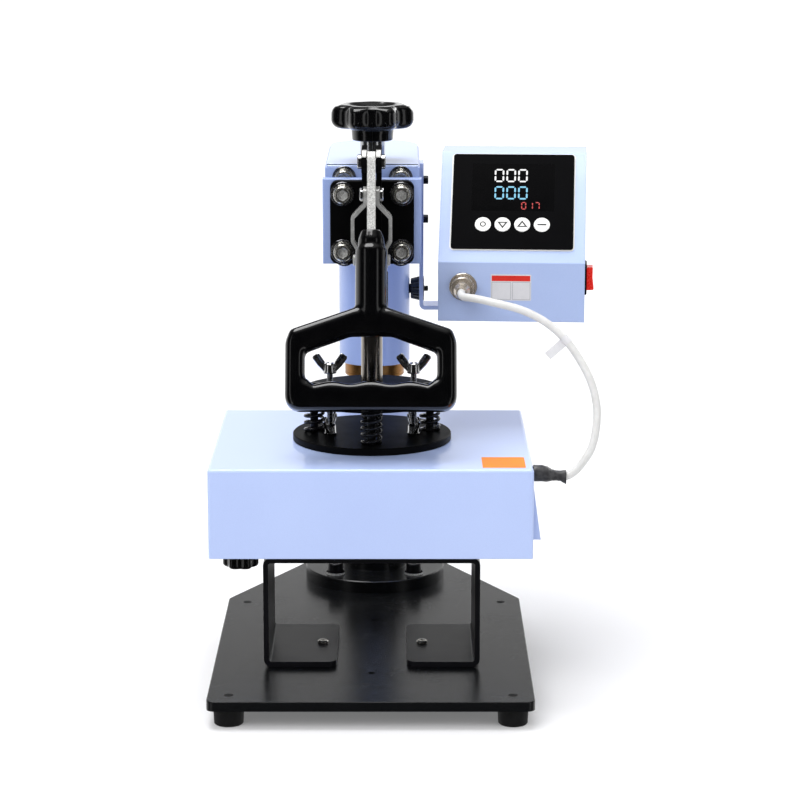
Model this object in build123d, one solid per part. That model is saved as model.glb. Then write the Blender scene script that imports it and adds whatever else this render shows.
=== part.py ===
from build123d import *
from math import cos, hypot, pi, radians, sin, sqrt, tan
import os

# Shin guard heat press: a swing-away arm on a round post carries a toggle clamp,
# a sprung heated head under a sheet-metal cover, and a sloped control console.
# Millimetres, +Z up. Inside the functions X = 0 is the machine's mid-plane, Y = 0
# the front edge of its base and Z = 0 the floor. The parts are moved at the end so
# that the origin is the middle of the footprint.

# fits and small gaps
running_gap = 0.05
slide_gap = 0.2
body_gap = 0.3
screw_gap = 0.05

# base plate and feet
base_width = 310.0
base_depth = 518.0
base_thickness = 9.5
base_taper_start = 345.0
base_rear_width = 124.0
base_corner_radius = 8.0
foot_height = 18.0
foot_top_diameter = 30.0
foot_bottom_diameter = 28.0
foot_side_inset = 20.3
foot_front_row = 20.7
foot_rear_row = 331.0
foot_tail_row = 492.0
foot_screw_diameter = 5.0
foot_screw_depth = 10.0
mount_hole_diameter = 6.6
mount_hole_front = 88.0
mount_hole_rear = 265.0
base_top = foot_height + base_thickness

# post and its flange
post_y = 439.0
post_diameter = 60.0
post_bore = 48.0
post_top = base_top + 465.7
post_plug_thickness = 12.0
flange_radius = 75.8
flange_thickness = 13.0
flange_hub_diameter = 70.0
flange_hub_height = 58.0
flange_bolt_circle = 120.0
flange_bolt_diameter = 10.0
flange_bolt_head = 16.0
flange_bolt_head_height = 10.0
flange_washer_diameter = 20.0
flange_washer_thickness = 2.0
flange_bolt_reach = 6.0

# stand under the head
stand_width = 211.2
stand_depth = 127.0
stand_front = 107.5
stand_sheet = 5.0
stand_top = base_top + 110.0
stand_bend_radius = 5.0
stand_foot_length = 71.2
stand_foot_corner = 10.0
stand_screw_x = 49.5
stand_screw_diameter = 6.0
stand_screw_head = 10.5
stand_screw_head_height = 2.8

# head, discs and plunger share one vertical axis
head_y = 176.0
form_length = 200.0
form_width = 114.0
form_edge = 2.0
form_rise = 9.0
form_pad_thickness = 3.0
form_screw_x = 60.0
guard_gap = 3.0
cover_width = 307.0
cover_depth = 267.0
cover_bottom = base_top + 127.4
cover_top = base_top + 214.0
cover_sheet = 1.5
cover_corner_radius = 3.0
cover_lip = 8.0
hood_front = 55.0
hood_length = 80.0
hood_bottom = base_top + 143.0
hood_top = base_top + 197.5
hood_reach = 7.5
die_length = 214.0
die_width = 124.0
die_bottom = base_top + 130.0
die_top = base_top + 168.0
wool_length = 246.0
wool_width = 176.0
hanger_x = 85.0
hanger_y = 40.0
hanger_diameter = 8.0
hanger_depth = 12.0
die_knob_x = -124.6
die_knob_y = 70.0
die_knob_radius = 17.0
die_knob_height = 14.0
die_knob_stud = 8.0
die_knob_stud_top = base_top + 146.0
die_tab_width = 36.0
die_tab_reach = 106.0
die_tab_thickness = 3.0

lower_disc_radius = 78.0
lower_disc_thickness = 7.0
upper_disc_radius = 70.0
upper_disc_thickness = 10.0
upper_disc_bottom = base_top + 254.0
guide_circle_radius = 57.0
guide_bolt_diameter = 8.0
guide_bolt_head = 17.0
guide_bolt_head_height = 5.0
float_travel = 6.0
spring_outer_diameter = 21.0
spring_wire = 2.6
spring_turns = 5
stud_x = 41.0
stud_y = head_y - 11.0
stud_diameter = 6.0
stud_top = base_top + 306.0
wing_span = 32.0
wing_hub_diameter = 13.0
wing_hub_height = 8.0
wing_height = 19.0
wing_thickness = 2.4
wing_tip_radius = 5.5
upper_wing_bottom = base_top + 282.0
plunger_diameter = 21.0
plunger_thread = 16.0
plunger_nut_width = 24.0
plunger_nut_height = 10.0

# toggle clamp: pivot A on the frame, B on the lever, C on the plunger
crank = 32.0
link_length = 64.0
pivot_a_z = base_top + 488.0
pivot_b_z = pivot_a_z - crank
pivot_c_z = pivot_b_z - link_length
handle_hang = 22.3
lever_thickness = 8.0
lever_eye_radius = 10.0
lever_shank_width = 18.0
lever_end = 168.0
pin_diameter = 8.0
pin_head_diameter = 14.0
pin_head_thickness = 4.0
crank_pin_head_diameter = 13.0
crank_pin_head_thickness = 3.5
cheek_thickness = 5.4
cheek_eye_radius = 11.0
cheek_web_front = head_y + 16.0
cheek_slot_bottom = base_top + 430.0
boss_outer = 32.0
boss_top = base_top + 381.0
boss_bottom = base_top + 340.0
link_width = 16.0
link_sheet = 3.5
link_bow = 18.3
link_foot_x = 14.0
plunger_pin_reach = 11.8

# handle grip: distances are measured down the lever from pivot A
neck_diameter = 31.0
neck_start = 86.0
neck_step_diameter = 26.0
neck_step_start = 77.0
neck_cone_diameter = 20.0
neck_cone_start = 68.0
grip_apex = 145.0
grip_shoulder = 166.5
grip_shoulder_half = 77.5
grip_half_width = 81.8
grip_bottom = 245.0
grip_corner_radius = 14.0
grip_depth = 26.0
grip_round = 8.0
window_half_width = 63.0
window_top = 172.0
window_top_half = 19.5
window_side_top = 188.0
window_bottom = 216.0
window_corner_radius = 5.0
finger_wave = 1.5
finger_pitch = 37.0

# carriage: front plate, tongue block and pressure screw
flange_plate_size = 83.0
flange_plate_thickness = 8.0
flange_plate_corner = 8.0
flange_plate_bottom = base_top + 381.0
front_plate_width = 98.0
front_plate_height = 85.0
front_plate_thickness = 12.0
front_plate_bottom = base_top + 380.0
clamp_screw_x = 29.0
clamp_screw_z = 28.5
clamp_screw_diameter = 12.0
clamp_screw_head = 18.0
clamp_screw_head_height = 12.0
clamp_washer_diameter = 24.0
clamp_washer_thickness = 2.5
clamp_reach = 44.0
tongue_width = 56.0
tongue_height = 44.0
tongue_bottom = base_top + 394.0
tongue_shoulder_width = 70.0
tongue_end = 300.0
tongue_groove_depth = 4.0
tongue_groove_width = 6.4
pressure_travel = 12.0
pressure_pitch = 4.0
pressure_y = 282.0
pressure_screw_diameter = 16.0
pressure_journal = 12.0
pressure_collar_diameter = 20.0
pressure_collar_height = 7.0
bush_outer = 25.0
bush_flange_diameter = 34.0
bush_flange_thickness = 4.0
knob_bottom = base_top + 497.5
knob_hub_height = 12.5
knob_hub_diameter = 42.5
knob_rim_height = 23.5
knob_radius = 42.0
knob_lobes = 7
knob_scallop_radius = 14.0
knob_scallop_centre = 48.0
knob_dish_depth = 3.5

# swing arm
sleeve_outer = 76.0
sleeve_bore = 64.0
sleeve_bottom = base_top + 241.5
sleeve_bush_length = 40.0
arm_width = 95.0
arm_bottom = base_top + 375.0
arm_top = base_top + 472.6
arm_wall = 8.0
arm_roof = 10.0
arm_front = 262.0
nose_thickness = 10.0
nose_screw_x = 28.3
nose_screw_inset = 9.4
lid_thickness = 3.0
lid_inset = 1.5
lock_z = base_top + 320.0
lock_grip_start = 39.0
lock_grip_length = 14.5
lock_small_diameter = 22.0
lock_large_diameter = 28.0
lock_screw_diameter = 10.0
lock_nub_diameter = 6.0
lock_nub_length = 4.5

# console on its bent strap
strap_thickness = 4.0
strap_width = 30.0
strap_front = 300.0
strap_bend_radius = 4.0
strap_end = 170.0
strap_screw_diameter = 5.0
strap_screw_head = 8.5
strap_screw_head_height = 5.0
strap_screw_heights = (base_top + 453.0, base_top + 413.0)
strap_floor_screws = (100.0, 155.0)
console_x = 137.5
console_front = 208.0
console_bottom = base_top + 325.0
console_turn = 4.0
console_width = 145.0
console_depth = 128.0
console_height = 160.0
console_kick = 59.0
console_setback = 76.0
console_sheet = 1.6
console_back_thickness = 1.5
panel_width = 121.0
panel_height = 107.5
panel_start = 15.0
panel_thickness = 2.2
display_width = 82.0
display_height = 54.0
display_start = 57.0
display_thickness = 1.0
button_diameter = 16.0
button_row = 42.0
button_pitch = 19.5
button_lift = 0.9
button_thickness = 1.7
button_travel = 0.6
socket_x = -47.5
socket_height = 35.0
socket_flange = 27.5
socket_flange_thickness = 3.0
socket_barrel = 18.0
socket_barrel_end = 13.0
socket_tail = 16.0
plug_ring = 23.0
plug_ring_end = 16.0
plug_body = 16.0
plug_body_end = 29.0
plug_end = 36.0
rocker_y = 44.0
rocker_height = 38.0
bezel_tall = 31.0
bezel_wide = 25.0
bezel_thickness = 2.0
bezel_opening_tall = 25.0
bezel_opening_wide = 18.0
bezel_depth = 22.0
rocker_tall = 23.0
rocker_wide = 17.4
rocker_end = 9.6
rocker_middle = 8.8
rocker_pivot_depth = 3.0
rocker_tilt = 3.0
inlet_width = 50.0
inlet_tall = 28.0
inlet_z = 45.0

# cable from the console to the head
cable_diameter = 7.5
cable_sleeve_large = 15.0
cable_sleeve_small = 10.0
cable_head_y = 60.0
cable_head_z = base_top + 205.5
cable_sleeve_end = 178.0
cable_route = [
    (193.0, 60.0, 205.5), (206.0, 61.0, 212.5), (214.5, 63.5, 225.0), (217.0, 68.0, 242.0),
    (214.5, 75.0, 265.0), (206.5, 83.0, 291.0), (192.0, 90.5, 316.5), (170.5, 98.0, 339.0),
    (142.0, 105.0, 352.0), (114.0, 112.0, 358.0), (95.5, 127.0, 360.0),
]


def block(x0, x1, y0, y1, z0, z1):
    return Pos((x0 + x1) / 2, (y0 + y1) / 2, (z0 + z1) / 2) * Box(x1 - x0, y1 - y0, z1 - z0)


def rod(x, y, z0, z1, diameter):
    return Pos(x, y, (z0 + z1) / 2) * Cylinder(diameter / 2, z1 - z0)


def rod_along_y(x, z, y0, y1, diameter):
    return Pos(x, (y0 + y1) / 2, z) * Rot(90, 0, 0) * Cylinder(diameter / 2, y1 - y0)


def rod_along_x(y, z, x0, x1, diameter):
    return Pos((x0 + x1) / 2, y, z) * Rot(0, 90, 0) * Cylinder(diameter / 2, x1 - x0)


def tube(x, y, z0, z1, outer, inner):
    return rod(x, y, z0, z1, outer) - rod(x, y, z0, z1, inner)


def side_slab(points, x0, x1):
    """A profile drawn in the Y-Z plane, pushed from x0 to x1."""
    face = make_face(Polyline(*[(0, y, z) for y, z in points], close=True))
    return Pos(x0, 0, 0) * extrude(face, amount=x1 - x0, dir=(1, 0, 0))


def front_slab(points, y0, y1):
    """A profile drawn in the X-Z plane, pushed from y0 to y1."""
    face = make_face(Polyline(*[(x, 0, z) for x, z in points], close=True))
    return Pos(0, y0, 0) * extrude(face, amount=y1 - y0, dir=(0, 1, 0))


def sheet_path(points, sheet, width, bend):
    """A bent strip: its centre line lies in the X-Z plane and its width runs along +Y."""
    line = FilletPolyline(*[(x, 0, z) for x, z in points], radius=bend)
    section = Plane(line @ 0, z_dir=line % 0, x_dir=(0, 1, 0)) * Rectangle(width, sheet)
    return Pos(0, width / 2, 0) * sweep(section, path=line)


def socket_screw(head, head_height, shank, reach, socket_share=0.55):
    """A cap screw along Z with its head above Z = 0."""
    body = Pos(0, 0, head_height / 2) * Cylinder(head / 2, head_height)
    body = chamfer(body.edges().group_by(Axis.Z)[-1], head_height * 0.08)
    across = head * socket_share
    hexagon = RegularPolygon(across / 2, 6, major_radius=False)
    body -= Pos(0, 0, head_height * 0.5) * extrude(hexagon, amount=head_height)
    return body + Pos(0, 0, -reach / 2) * Cylinder(shank / 2, reach)


def pan_screw(head, head_height, shank, reach):
    body = Pos(0, 0, head_height / 2) * Cylinder(head / 2, head_height)
    body = chamfer(body.edges().group_by(Axis.Z)[-1], head_height * 0.35)
    slot =Pos(0, 0, head_height) * Box(head * 0.55, head * 0.14, head_height * 0.7)
    slot += Rot(0, 0, 90) * slot
    return body - slot + Pos(0, 0, -reach / 2) * Cylinder(shank / 2, reach)


# base

def foot_places():
    side = base_width / 2 - foot_side_inset
    rows = [(x, y) for y in (foot_front_row, foot_rear_row) for x in (-side, side)]
    return rows + [(0, foot_tail_row)]


def flange_bolt_places():
    reach = flange_bolt_circle / 2 * sqrt(0.5)
    return [(sx * reach, post_y + sy * reach) for sx in (-1, 1) for sy in (-1, 1)]


def stand_screw_places():
    middle = stand_front + stand_depth / 2
    return [(-stand_screw_x, middle), (stand_screw_x, middle)]


def make_base_plate():
    half, rear = base_width / 2, base_rear_width / 2
    outline = Polyline((-half, 0), (half, 0), (half, base_taper_start), (rear, base_depth),
                       (-rear, base_depth), (-half, base_taper_start), close=True)
    plate = Pos(0, 0, foot_height) * extrude(make_face(outline), amount=base_thickness)
    plate = fillet(plate.edges().filter_by(Axis.Z), base_corner_radius)
    plate = chamfer(plate.faces().sort_by(Axis.Z)[-1].edges(), 0.6)
    holes = [(x, y, foot_screw_diameter) for x, y in foot_places()]
    holes += [(x, y, stand_screw_diameter) for x, y in stand_screw_places()]
    holes += [(0, y, mount_hole_diameter) for y in (mount_hole_front, mount_hole_rear)]
    for x, y, diameter in holes:
        grow = 0 if diameter == mount_hole_diameter else 2 * screw_gap
        plate -= rod(x, y, 0, base_top + 1, diameter + grow)
    for x, y in flange_bolt_places():
        plate -= rod(x, y, base_top - flange_bolt_reach, base_top + 1,
                     flange_bolt_diameter + 2 * screw_gap)
    return plate


def make_rubber_feet():
    feet = []
    for x, y in foot_places():
        foot = Pos(x, y, foot_height / 2) * Cone(foot_bottom_diameter / 2, foot_top_diameter / 2,
                                                 foot_height)
        foot = chamfer(foot.edges().group_by(Axis.Z)[0], 1.0)
        feet.append(foot - rod(x, y, foot_height - foot_screw_depth, foot_height + 1,
                               foot_screw_diameter + 2 * screw_gap))
    return Compound(feet)


def make_base_screws():
    screws = []
    for x, y in foot_places():
        if y == foot_tail_row:
            # the tail foot's screw is sunk flush, because the post flange covers it
            screws.append(rod(x, y, foot_height - foot_screw_depth, base_top, foot_screw_diameter))
            continue
        reach = base_thickness + foot_screw_depth
        screws.append(Pos(x, y, base_top) * pan_screw(9.0, 2.4, foot_screw_diameter, reach))
    for x, y in stand_screw_places():
        top = base_top + stand_sheet
        screws.append(Pos(x, y, top) * pan_screw(stand_screw_head, stand_screw_head_height,
                                                 stand_screw_diameter, stand_sheet + base_thickness))
    for x in (-form_screw_x, form_screw_x):
        under = stand_top - stand_sheet
        screws.append(Pos(x, head_y, under) * Rot(180, 0, 0)
                      * pan_screw(stand_screw_head, stand_screw_head_height,
                                  stand_screw_diameter, stand_sheet + 4.0))
    return Compound(screws)


def make_post_flange():
    flange = rod(0, post_y, base_top, base_top + flange_thickness, 2 * flange_radius)
    flange = chamfer(flange.edges().group_by(Axis.Z)[-1], 1.0)
    hub = rod(0, post_y, base_top, base_top + flange_hub_height, flange_hub_diameter)
    hub = chamfer(hub.edges().group_by(Axis.Z)[-1], 1.5)
    flange = flange + hub - rod(0, post_y, base_top - 1, base_top + flange_hub_height + 1,
                                post_diameter)
    for x, y in flange_bolt_places():
        flange -= rod(x, y, base_top - 1, base_top + flange_thickness + 1,
                      flange_bolt_diameter + 2 * screw_gap)
    return flange


def make_flange_bolts():
    pieces = []
    seat = base_top + flange_thickness
    for x, y in flange_bolt_places():
        pieces.append(tube(x, y, seat, seat + flange_washer_thickness, flange_washer_diameter,
                           flange_bolt_diameter + 2 * screw_gap))
        reach = flange_washer_thickness + flange_thickness + flange_bolt_reach
        pieces.append(Pos(x, y, seat + flange_washer_thickness)
                      * socket_screw(flange_bolt_head, flange_bolt_head_height,
                                     flange_bolt_diameter, reach))
    return Compound(pieces)


def make_post():
    post = rod(0, post_y, base_top, post_top, post_diameter)
    post = chamfer(post.edges().group_by(Axis.Z)[-1], 1.5)
    return post - rod(0, post_y, base_top - 1, post_top - post_plug_thickness, post_bore)


def make_stand():
    half = (stand_width - stand_sheet) / 2
    low, high = base_top + stand_sheet / 2, stand_top - stand_sheet / 2
    inner = stand_width / 2 - stand_foot_length
    path = [(-inner, low), (-half, low), (-half, high), (half, high), (half, low), (inner, low)]
    strip = Pos(0, stand_front, 0) * sheet_path(path, stand_sheet, stand_depth, stand_bend_radius)
    corners = [e for e in strip.edges().filter_by(Axis.Z)
               if abs(abs(e.center().X) - inner) < 0.1 and e.center().Z < base_top + stand_sheet]
    strip = fillet(corners, stand_foot_corner)
    for x, y in stand_screw_places():
        strip -= rod(x, y, base_top - 1, base_top + stand_sheet + 1,
                     stand_screw_diameter + 2 * screw_gap)
    for x in (-form_screw_x, form_screw_x):
        strip -= rod(x, head_y, stand_top - stand_sheet - 1, stand_top + 1,
                     stand_screw_diameter + 2 * screw_gap)
    return strip


def arch_radius():
    half = form_width / 2
    return (half ** 2 + form_rise ** 2) / (2 * form_rise)


def arch_cylinder(radius, length):
    """A cylinder along X whose axis lies under the crest of the form."""
    crest = stand_top + form_edge + form_rise
    return rod_along_x(head_y, crest - arch_radius(), -length / 2, length / 2, 2 * radius)


def make_lower_form():
    envelope = block(-form_length / 2, form_length / 2, head_y - form_width / 2,
                     head_y + form_width / 2, stand_top, stand_top + form_edge + form_rise + 1)
    form = envelope & arch_cylinder(arch_radius(), form_length + 2)
    for x in (-form_screw_x, form_screw_x):
        form -= rod(x, head_y, stand_top - 1, stand_top + 4.0, stand_screw_diameter + 2 * screw_gap)
    return form


def make_form_pad():
    envelope = block(-form_length / 2, form_length / 2, head_y - form_width / 2,
                     head_y + form_width / 2, stand_top, stand_top + 40)
    skin = arch_cylinder(arch_radius() + form_pad_thickness, form_length + 2)
    return (envelope & skin) - arch_cylinder(arch_radius(), form_length + 4)


# head

def cover_box(grow, lower, upper):
    return block(-cover_width / 2 - grow, cover_width / 2 + grow, head_y - cover_depth / 2 - grow,
                 head_y + cover_depth / 2 + grow, lower, upper)


def make_head_cover():
    shell = cover_box(0, cover_bottom, cover_top)
    shell = fillet(shell.edges().filter_by(Axis.Z) + shell.edges().group_by(Axis.Z)[-1],
                   cover_corner_radius)
    shell -= cover_box(-cover_sheet, cover_bottom + cover_sheet, cover_top - cover_sheet)
    shell -= cover_box(-cover_lip, cover_bottom - 1, cover_bottom + cover_sheet + 1)
    side = cover_width / 2
    hood = front_slab([(side - 0.5, hood_top), (side, hood_top), (side + hood_reach, hood_bottom),
                       (side - 0.5, hood_bottom)], hood_front, hood_front + hood_length)
    hood -= front_slab([(side, hood_top - 12), (side + hood_reach - 1.3, hood_bottom - 1),
                        (side, hood_bottom - 1)], hood_front + 1.3, hood_front + hood_length - 1.3)
    tab = block(-cover_width / 2 + cover_sheet - 0.1, -die_tab_reach,
                die_knob_y - die_tab_width / 2, die_knob_y + die_tab_width / 2,
                cover_bottom, cover_bottom + die_tab_thickness)
    shell = shell + hood + tab
    shell -= rod(die_knob_x, die_knob_y, cover_bottom - 1, cover_bottom + 10,
                 die_knob_stud + 2 * running_gap)
    for x, y in guide_places() + stud_places():
        shell -= rod(x, y, cover_top - 3, cover_top + 1, guide_bolt_diameter + 2 * screw_gap)
    return shell


def hanger_places():
    return [(sx * hanger_x, head_y + sy * hanger_y) for sx in (-1, 1) for sy in (-1, 1)]


def make_heater_die():
    block_x, block_y = die_length / 2, die_width / 2
    die = block(-block_x, block_x, head_y - block_y, head_y + block_y, die_bottom, die_top)
    radius = arch_radius() + form_pad_thickness + guard_gap
    drop = sqrt(radius ** 2 - block_y ** 2)
    centre = die_bottom + 1.0 - drop
    die -= rod_along_x(head_y, centre, -block_x - 1, block_x + 1, 2 * radius)
    for x, y in hanger_places():
        die -= rod(x, y, die_top - hanger_depth, die_top + 1, hanger_diameter + 2 * screw_gap)
    return die


def make_heater_wool():
    wool = block(-wool_length / 2, wool_length / 2, head_y - wool_width / 2,
                 head_y + wool_width / 2, die_top, cover_top - cover_sheet)
    wool = fillet(wool.edges().filter_by(Axis.Z), 10.0)
    for x, y in hanger_places():
        wool -= rod(x, y, die_top - 1, cover_top, hanger_diameter + 2 * screw_gap)
    return wool


def guide_places():
    r = guide_circle_radius
    return [(-r, head_y), (0, head_y - r), (r, head_y), (0, head_y + r)]


def stud_places():
    return [(-stud_x, stud_y), (stud_x, stud_y)]


def make_lower_disc():
    disc = rod(0, head_y, cover_top, cover_top + lower_disc_thickness, 2 * lower_disc_radius)
    disc = chamfer(disc.edges(), 0.8)
    for x, y in guide_places():
        disc -= rod(x, y, cover_top - 1, cover_top + 20, guide_bolt_diameter + 2 * screw_gap)
    for x, y in stud_places():
        disc -= rod(x, y, cover_top - 1, cover_top + 20, stud_diameter + 2 * screw_gap)
    return disc


def make_head_studs():
    pieces = [rod(x, y, cover_top, stud_top, stud_diameter) for x, y in stud_places()]
    pieces = [chamfer(p.edges().group_by(Axis.Z)[-1], 0.8) for p in pieces]
    pieces += [rod(x, y, die_top - hanger_depth, cover_top - cover_sheet, hanger_diameter)
               for x, y in hanger_places()]
    return Compound(pieces)


def make_guide_bolts():
    seat = upper_disc_bottom + upper_disc_thickness
    bolts = []
    for x, y in guide_places():
        head = rod(x, y, seat, seat + guide_bolt_head_height, guide_bolt_head)
        head = chamfer(head.edges().group_by(Axis.Z)[-1], 0.8)
        hexagon = RegularPolygon(guide_bolt_head * 0.25, 6, major_radius=False)
        head -= Pos(x, y, seat + guide_bolt_head_height * 0.5) * extrude(hexagon, amount=10)
        bolts.append(head + rod(x, y, cover_top, seat, guide_bolt_diameter))
    return Compound(bolts)


def make_disc_springs():
    low = cover_top + lower_disc_thickness
    span = upper_disc_bottom - low
    mean = (spring_outer_diameter - spring_wire) / 2
    rise = (span - spring_wire) / spring_turns
    helix = Helix(pitch=rise, height=span - spring_wire, radius=mean)
    section = Plane(helix @ 0, z_dir=helix % 0) * RegularPolygon(spring_wire / 2, 6)
    coil = sweep(section, path=helix, is_frenet=True)
    return Compound([Pos(x, y, low + spring_wire / 2) * coil for x, y in guide_places()])


def make_upper_disc():
    top = upper_disc_bottom + upper_disc_thickness
    disc = rod(0, head_y, upper_disc_bottom, top, 2 * upper_disc_radius)
    disc = chamfer(disc.edges(), 0.8)
    disc -= rod(0, head_y, upper_disc_bottom - 1, top + 1, plunger_thread)
    for x, y in guide_places():
        disc -= rod(x, y, upper_disc_bottom - 1, top + 1, guide_bolt_diameter + 2 * slide_gap)
    for x, y in stud_places():
        disc -= rod(x, y, upper_disc_bottom - 1, top + 1, stud_diameter + 2 * slide_gap)
    return disc


def make_plunger_nut():
    hexagon = RegularPolygon(plunger_nut_width / 2, 6, major_radius=False)
    nut = Pos(0, head_y, upper_disc_bottom - plunger_nut_height) * extrude(
        hexagon, amount=plunger_nut_height)
    return nut - rod(0, head_y, 0, upper_disc_bottom + 1, plunger_thread)


def make_plunger():
    seat = upper_disc_bottom + upper_disc_thickness
    top = pivot_c_z + 9.0
    body = rod(0, head_y, seat, top, plunger_diameter)
    body = chamfer(body.edges().group_by(Axis.Z)[-1], 2.0)
    flat = plunger_diameter * 0.43
    for side in (-1, 1):
        body -= block(min(side * flat, side * 20), max(side * flat, side * 20),
                      head_y - 20, head_y + 20, pivot_c_z - 9, top + 1)
    body += rod(0, head_y, upper_disc_bottom - plunger_nut_height - 1.5, seat, plunger_thread)
    return body + rod_along_x(head_y, pivot_c_z, -plunger_pin_reach, plunger_pin_reach, pin_diameter)


def make_wing_nut(bottom, turn):
    """A wing nut on the stud axis; turn is the angle of its wings from the X axis."""
    hub = Cone(wing_hub_diameter / 2, wing_hub_diameter / 2 - 1.2, wing_hub_height,
               align=(Align.CENTER, Align.CENTER, Align.MIN))
    tip = wing_span / 2 - wing_tip_radius
    for side in (-1, 1):
        lobe = Pos(side * tip, wing_height - wing_tip_radius) * Circle(wing_tip_radius)
        root = Pos(side * wing_hub_diameter * 0.32, wing_hub_height * 0.5) * Rectangle(3.2, 7.0)
        wing = make_hull(lobe.edges() + root.edges())
        hub += extrude(Plane.XZ * wing, amount=wing_thickness / 2, both=True)
    hub -= Cylinder(stud_diameter / 2 + running_gap, 60)
    return Pos(0, 0, bottom) * Rot(0, 0, turn) * hub


def star_prism(radius, lobes, scallop, centre, height, turn):
    face = Circle(radius)
    for i in range(lobes):
        face -= Rot(0, 0, turn + i * 360 / lobes) * Pos(centre, 0) * Circle(scallop)
    return extrude(face, amount=height)


def make_die_knob():
    top = cover_bottom - body_gap
    low = top - die_knob_height
    knob = Pos(0, 0, low) * star_prism(die_knob_radius, 6, 7.0, 20.5, die_knob_height, 30)
    edges = knob.edges().group_by(Axis.Z)
    knob = chamfer(edges[0] + edges[-1], 1.6)
    knob += rod(0, 0, low + 3, die_knob_stud_top, die_knob_stud)
    return Pos(die_knob_x, die_knob_y, 0) * knob


def make_cable_sleeve():
    length = cable_sleeve_end - cover_width / 2
    sleeve = Cone(cable_sleeve_large / 2, cable_sleeve_small / 2, length,
                  align=(Align.CENTER, Align.CENTER, Align.MIN))
    return Pos(cover_width / 2, cable_head_y, cable_head_z) * Rot(0, 90, 0) * sleeve


# toggle clamp

def clamp_face():
    return head_y + clamp_reach


def clamp_screw_places():
    middle = flange_plate_bottom + flange_plate_size / 2
    return [(sx * clamp_screw_x, middle + sz * clamp_screw_z) for sx in (-1, 1) for sz in (-1, 1)]


def make_clamp_body():
    face = clamp_face()
    half = flange_plate_size / 2
    plate = block(-half, half, face, face + flange_plate_thickness, flange_plate_bottom,
                  flange_plate_bottom + flange_plate_size)
    plate = fillet(plate.edges().filter_by(Axis.Y), flange_plate_corner)
    plate = chamfer(plate.faces().sort_by(Axis.Y)[0].edges(), 0.8)
    slot = lever_thickness / 2 + body_gap
    outer = slot + cheek_thickness
    eye, front = cheek_eye_radius, cheek_web_front
    web = side_slab([(head_y, pivot_a_z + eye), (face, pivot_a_z + eye), (face, boss_top),
                     (head_y + 20, boss_bottom), (head_y, boss_bottom), (head_y, boss_top - 3),
                     (front, boss_top + 3), (front, pivot_a_z - eye), (head_y, pivot_a_z - eye)],
                    -outer, outer)
    web += rod_along_x(head_y, pivot_a_z, -outer, outer, 2 * eye)
    web -= block(-slot, slot, 0, face, cheek_slot_bottom, pivot_a_z + 40)
    boss = rod(0, head_y, boss_bottom, boss_top, boss_outer)
    boss = chamfer(boss.edges(), 1.0)
    body = plate + web + boss
    body -= rod(0, head_y, boss_bottom - 5, boss_top + 5, plunger_diameter + 2 * running_gap)
    body -= rod_along_x(head_y, pivot_a_z, -40, 40, pin_diameter + 2 * running_gap)
    for x, z in clamp_screw_places():
        body -= rod_along_y(x, z, face - 1, face + flange_plate_thickness + 1,
                            clamp_screw_diameter + 2 * screw_gap)
    return body


def make_clamp_screws():
    pieces = []
    face = clamp_face()
    for x, z in clamp_screw_places():
        washer = rod_along_y(x, z, face - clamp_washer_thickness, face, clamp_washer_diameter)
        washer = chamfer(washer.faces().sort_by(Axis.Y)[0].edges(), 0.5)
        pieces.append(washer - rod_along_y(x, z, 0, face + 1, clamp_screw_diameter + 2 * screw_gap))
        reach = clamp_washer_thickness + flange_plate_thickness + front_plate_thickness
        pieces.append(Pos(x, face - clamp_washer_thickness, z) * Rot(90, 0, 0)
                      * socket_screw(clamp_screw_head, clamp_screw_head_height,
                                     clamp_screw_diameter, reach))
    return Compound(pieces)


def pin_with_heads(y, z, inner, head, thickness):
    """A pin along X whose two heads stand outside X = inner."""
    pin = rod_along_x(y, z, -inner, inner, pin_diameter)
    for side in (-1, 1):
        cap = rod_along_x(y, z, min(side * inner, side * (inner + thickness)),
                          max(side * inner, side * (inner + thickness)), head)
        pin += chamfer(cap.edges().group_by(Axis.X)[0 if side < 0 else -1], 0.8)
    return pin


def make_frame_pin():
    inner = lever_thickness / 2 + body_gap + cheek_thickness + running_gap
    return pin_with_heads(head_y, pivot_a_z, inner, pin_head_diameter, pin_head_thickness)


def make_crank_pin():
    inner = lever_thickness / 2 + body_gap + link_sheet + body_gap
    return pin_with_heads(head_y, pivot_b_z, inner, crank_pin_head_diameter,
                          crank_pin_head_thickness)


def lever_point(down, forward=0.0):
    """Y and Z of a point given along the handle: down from pivot A, and forward of it."""
    hang = radians(handle_hang)
    y = head_y - down * sin(hang) - forward * cos(hang)
    z = pivot_a_z - down * cos(hang) + forward * sin(hang)
    return y, z


def make_lever():
    eye = lever_eye_radius
    half = lever_shank_width / 2
    circles = [Pos(0, 0) * Circle(eye), Pos(crank * sin(radians(handle_hang)),
                                            -crank * cos(radians(handle_hang))) * Circle(eye - 0.5),
               Pos(0, -neck_cone_start + 6) * Circle(half)]
    edges = circles[0].edges() + circles[1].edges() + circles[2].edges()
    plate = make_hull(edges) + Pos(0, -(neck_cone_start - 6 + lever_end) / 2) * Rectangle(
        lever_shank_width, lever_end - neck_cone_start + 6)
    y, z = lever_point(0)
    hang = radians(handle_hang)
    side_plane = Plane(origin=(0, y, z), x_dir=(0, cos(hang), -sin(hang)), z_dir=(1, 0, 0))
    lever = extrude(side_plane * plate, amount=lever_thickness / 2, both=True)
    lever -= rod_along_x(head_y, pivot_a_z, -20, 20, pin_diameter + 2 * running_gap)
    return lever - rod_along_x(head_y, pivot_b_z, -20, 20, pin_diameter)


def grip_plane():
    hang = radians(handle_hang)
    return Plane(origin=(0, head_y, pivot_a_z), x_dir=(1, 0, 0),
                 z_dir=(0, -cos(hang), sin(hang)))


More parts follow.
